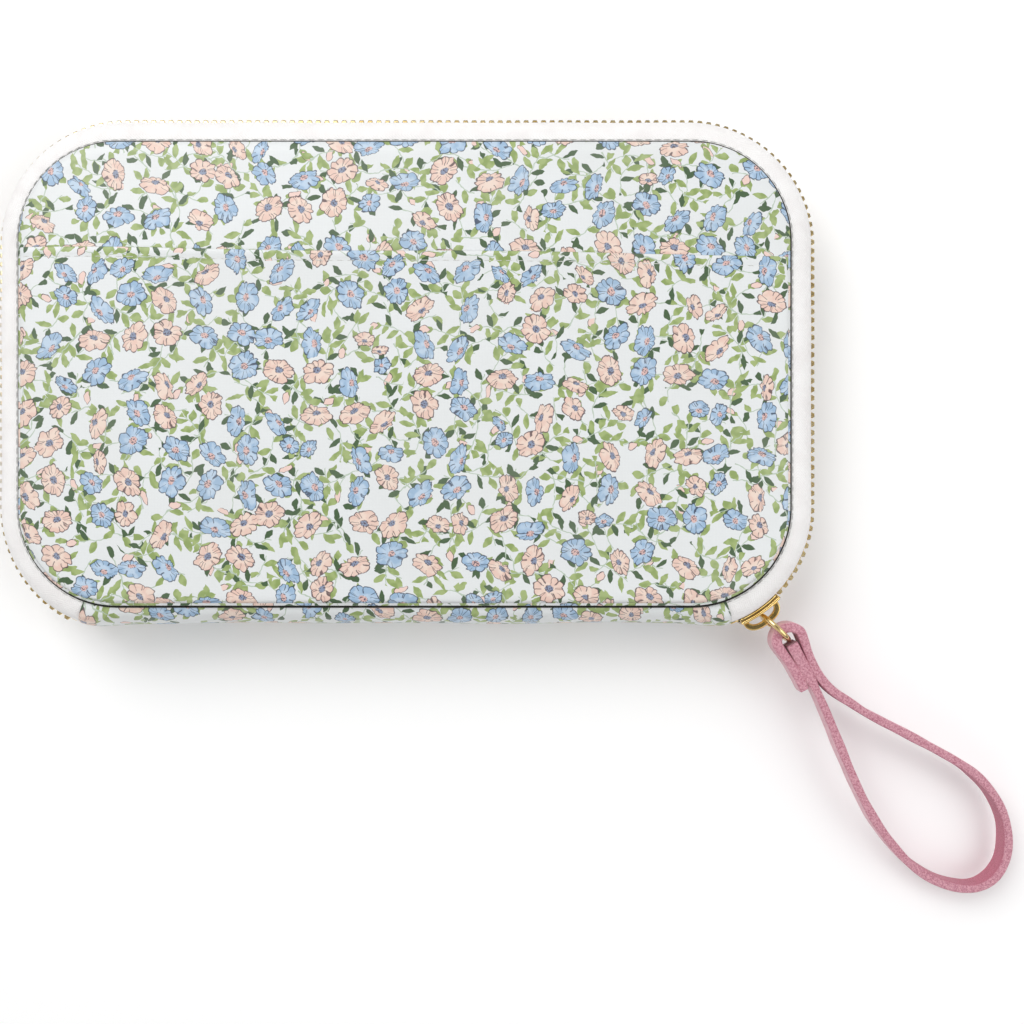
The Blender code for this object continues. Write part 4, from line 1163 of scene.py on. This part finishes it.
def addCoinSide():
    y, z = 28 * mm, 5.8 * mm
    flatPocket("coin_pocket_cloth", "coin_pocket_panel", lining, "back_cover", (-85 * mm, -56 * mm),
               (85 * mm, 23.5 * mm), 7.0 * mm, 1, 16 * mm)
    flatPocket("coin_pocket_top_cloth", "coin_pocket_facing", lining, "back_cover", (-85 * mm, 32.5 * mm),
               (85 * mm, 42.5 * mm), 7.0 * mm, 1, 3 * mm)
    flatPocket("ticket_pocket_cloth", "ticket_pocket", pocketCloth, "back_cover", (-90 * mm, -58 * mm),
               (90 * mm, 8 * mm), 7.95 * mm, 1, 16 * mm)
    count = 84
    for name, way in (("lower", -1), ("upper", 1)):
        xs = np.linspace(-76, 76, 90) * mm
        o = np.array([1.5, 2.2, 3.0, 5.0, 8.0, 11.3]) * mm
        lift = np.array([0.35, 0.28, 0.05, 0, 0, 0.0]) * mm
        grid = np.stack(np.broadcast_arrays(xs[:, None], y + way * o[None], z + 0.1 * mm + lift[None]),
                        axis=2)
        uv = np.stack(np.broadcast_arrays(xs[:, None], o[None]), axis=2)
        tape = surface(f"coin_tape_{name}", grid, whiteTape, "back_cover", uv=uv, flip=way < 0)
        thicken(tape, 0.35 * mm)
        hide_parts(f"coin_zip_tape_{name}")
        x = (np.arange(count) + (0.5 if way > 0 else 0.0)) * 1.7 * mm - 71.2 * mm
        centres = np.stack([x, np.full(count, y), np.full(count, z)], axis=1)
        rings = np.array([[2.0, 0.28, -0.6, 0.6], [1.9, 0.42, -0.78, 0.78], [1.0, 0.44, -0.8, 0.8],
                          [0.6, 0.36, -0.62, 0.62],
                          [-0.3, 0.34, -0.6, 0.6], [-0.45, 0.22, -0.4, 0.4]]) * mm
        axes = [np.tile(v, (count, 1)) for v in ([0, 0, 1.0], [1.0, 0, 0], [0, float(way), 0])]
        stampTeeth(f"coin_teeth_{name}", f"coin_zip_teeth_{name}", centres, *axes, rings, paleGold,
                   "back_cover")
    refined("coin_slider", "coin_slider_body", gold, "coin_slider", 0.16 * mm)
    refined("coin_slider_arch", "coin_slider_bail", gold, "coin_slider", 0.16 * mm)
    refined("coin_pull_tab", "coin_pull", gold, "coin_pull", 0.2 * mm)
    refined("coin_stop_left", "coin_zip_stop_left", gold, "back_cover", 0.14 * mm)
    refined("coin_stop_right", "coin_zip_stop_right", gold, "back_cover", 0.14 * mm)


addCardSide()
addCoinSide()
print("inside made")


studio = {"floor": 3.0, "gap": 0.4 * mm, "paper": (0.97, 0.97, 0.97, 1), "air": 0.79,
          "wall": (0.93, 0.93, 0.93, 1),
          "lens": 41.8, "eye": (0.0309, -0.0397, 0.368)}


def addStudio():
    # a pale floor, air that is bright above the horizon and dark overhead, two soft lamps and the eye
    floorFinish, shader = newFinish("paleFloor", Roughness=0.85)
    shader.inputs["Base Color"].default_value = studio["paper"]
    size = studio["floor"]
    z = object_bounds()[0][2] - studio["gap"]
    corners = [[-size, -size, z], [size, -size, z], [size, size, z], [-size, size, z]]
    floor = makeObject("floor", corners, [[0, 1, 2, 3]], floorFinish, None)
    world = bpy.data.worlds.new("studioAir")
    world.use_nodes = True
    tree = drawing["tree"] = world.node_tree
    _, _, height = split(coordinates("Generated"))
    rise = soften(height, 0.05, 0.5)
    crown = times(soften(height, 0.84, 0.95), 0.88)
    lit = times(rise, minus(1.0, crown))
    air = blendColour(lit, (0.04, 0.036, 0.03), (1.0, 1.0, 1.0))
    link(air, tree.nodes["Background"].inputs["Color"])
    around = tree.nodes["Background"]
    around.inputs["Strength"].default_value = studio["air"]
    # past the floor's edge the eye meets a plain pale wall, while the metal still mirrors the studio
    wall = newNode("ShaderNodeBackground")
    wall.inputs["Color"].default_value = studio["wall"]
    seen = newNode("ShaderNodeMixShader")
    link(newNode("ShaderNodeLightPath").outputs["Is Camera Ray"], seen.inputs["Fac"])
    link(around.outputs["Background"], seen.inputs[1])
    link(wall.outputs["Background"], seen.inputs[2])
    link(seen.outputs["Shader"], tree.nodes["World Output"].inputs["Surface"])
    bpy.context.scene.world = world
    for name, spot, size, power in (
        ("keyLight", (-0.55, 0.75, 1.05), 0.9, 10.4),
        ("fillLight", (0.85, -0.25, 0.85), 1.0, 4.0),
    ):
        light = bpy.data.lights.new(name, "AREA")
        light.energy = power
        light.size = size
        lamp = bpy.data.objects.new(name, light)
        lamp.location = spot
        lamp.rotation_euler = (Vector((0, 0, 0)) - Vector(spot)).to_track_quat("-Z", "Y").to_euler()
        bpy.context.scene.collection.objects.link(lamp)
    lens = bpy.data.cameras.new("mainCamera")
    lens.lens = studio["lens"]
    lens.sensor_width = 36.0
    eye = bpy.data.objects.new("mainCamera", lens)
    eye.location = studio["eye"]
    bpy.context.scene.collection.objects.link(eye)
    bpy.context.scene.camera = eye


addStudio()
bpy.context.scene.view_settings.view_transform = "Standard"
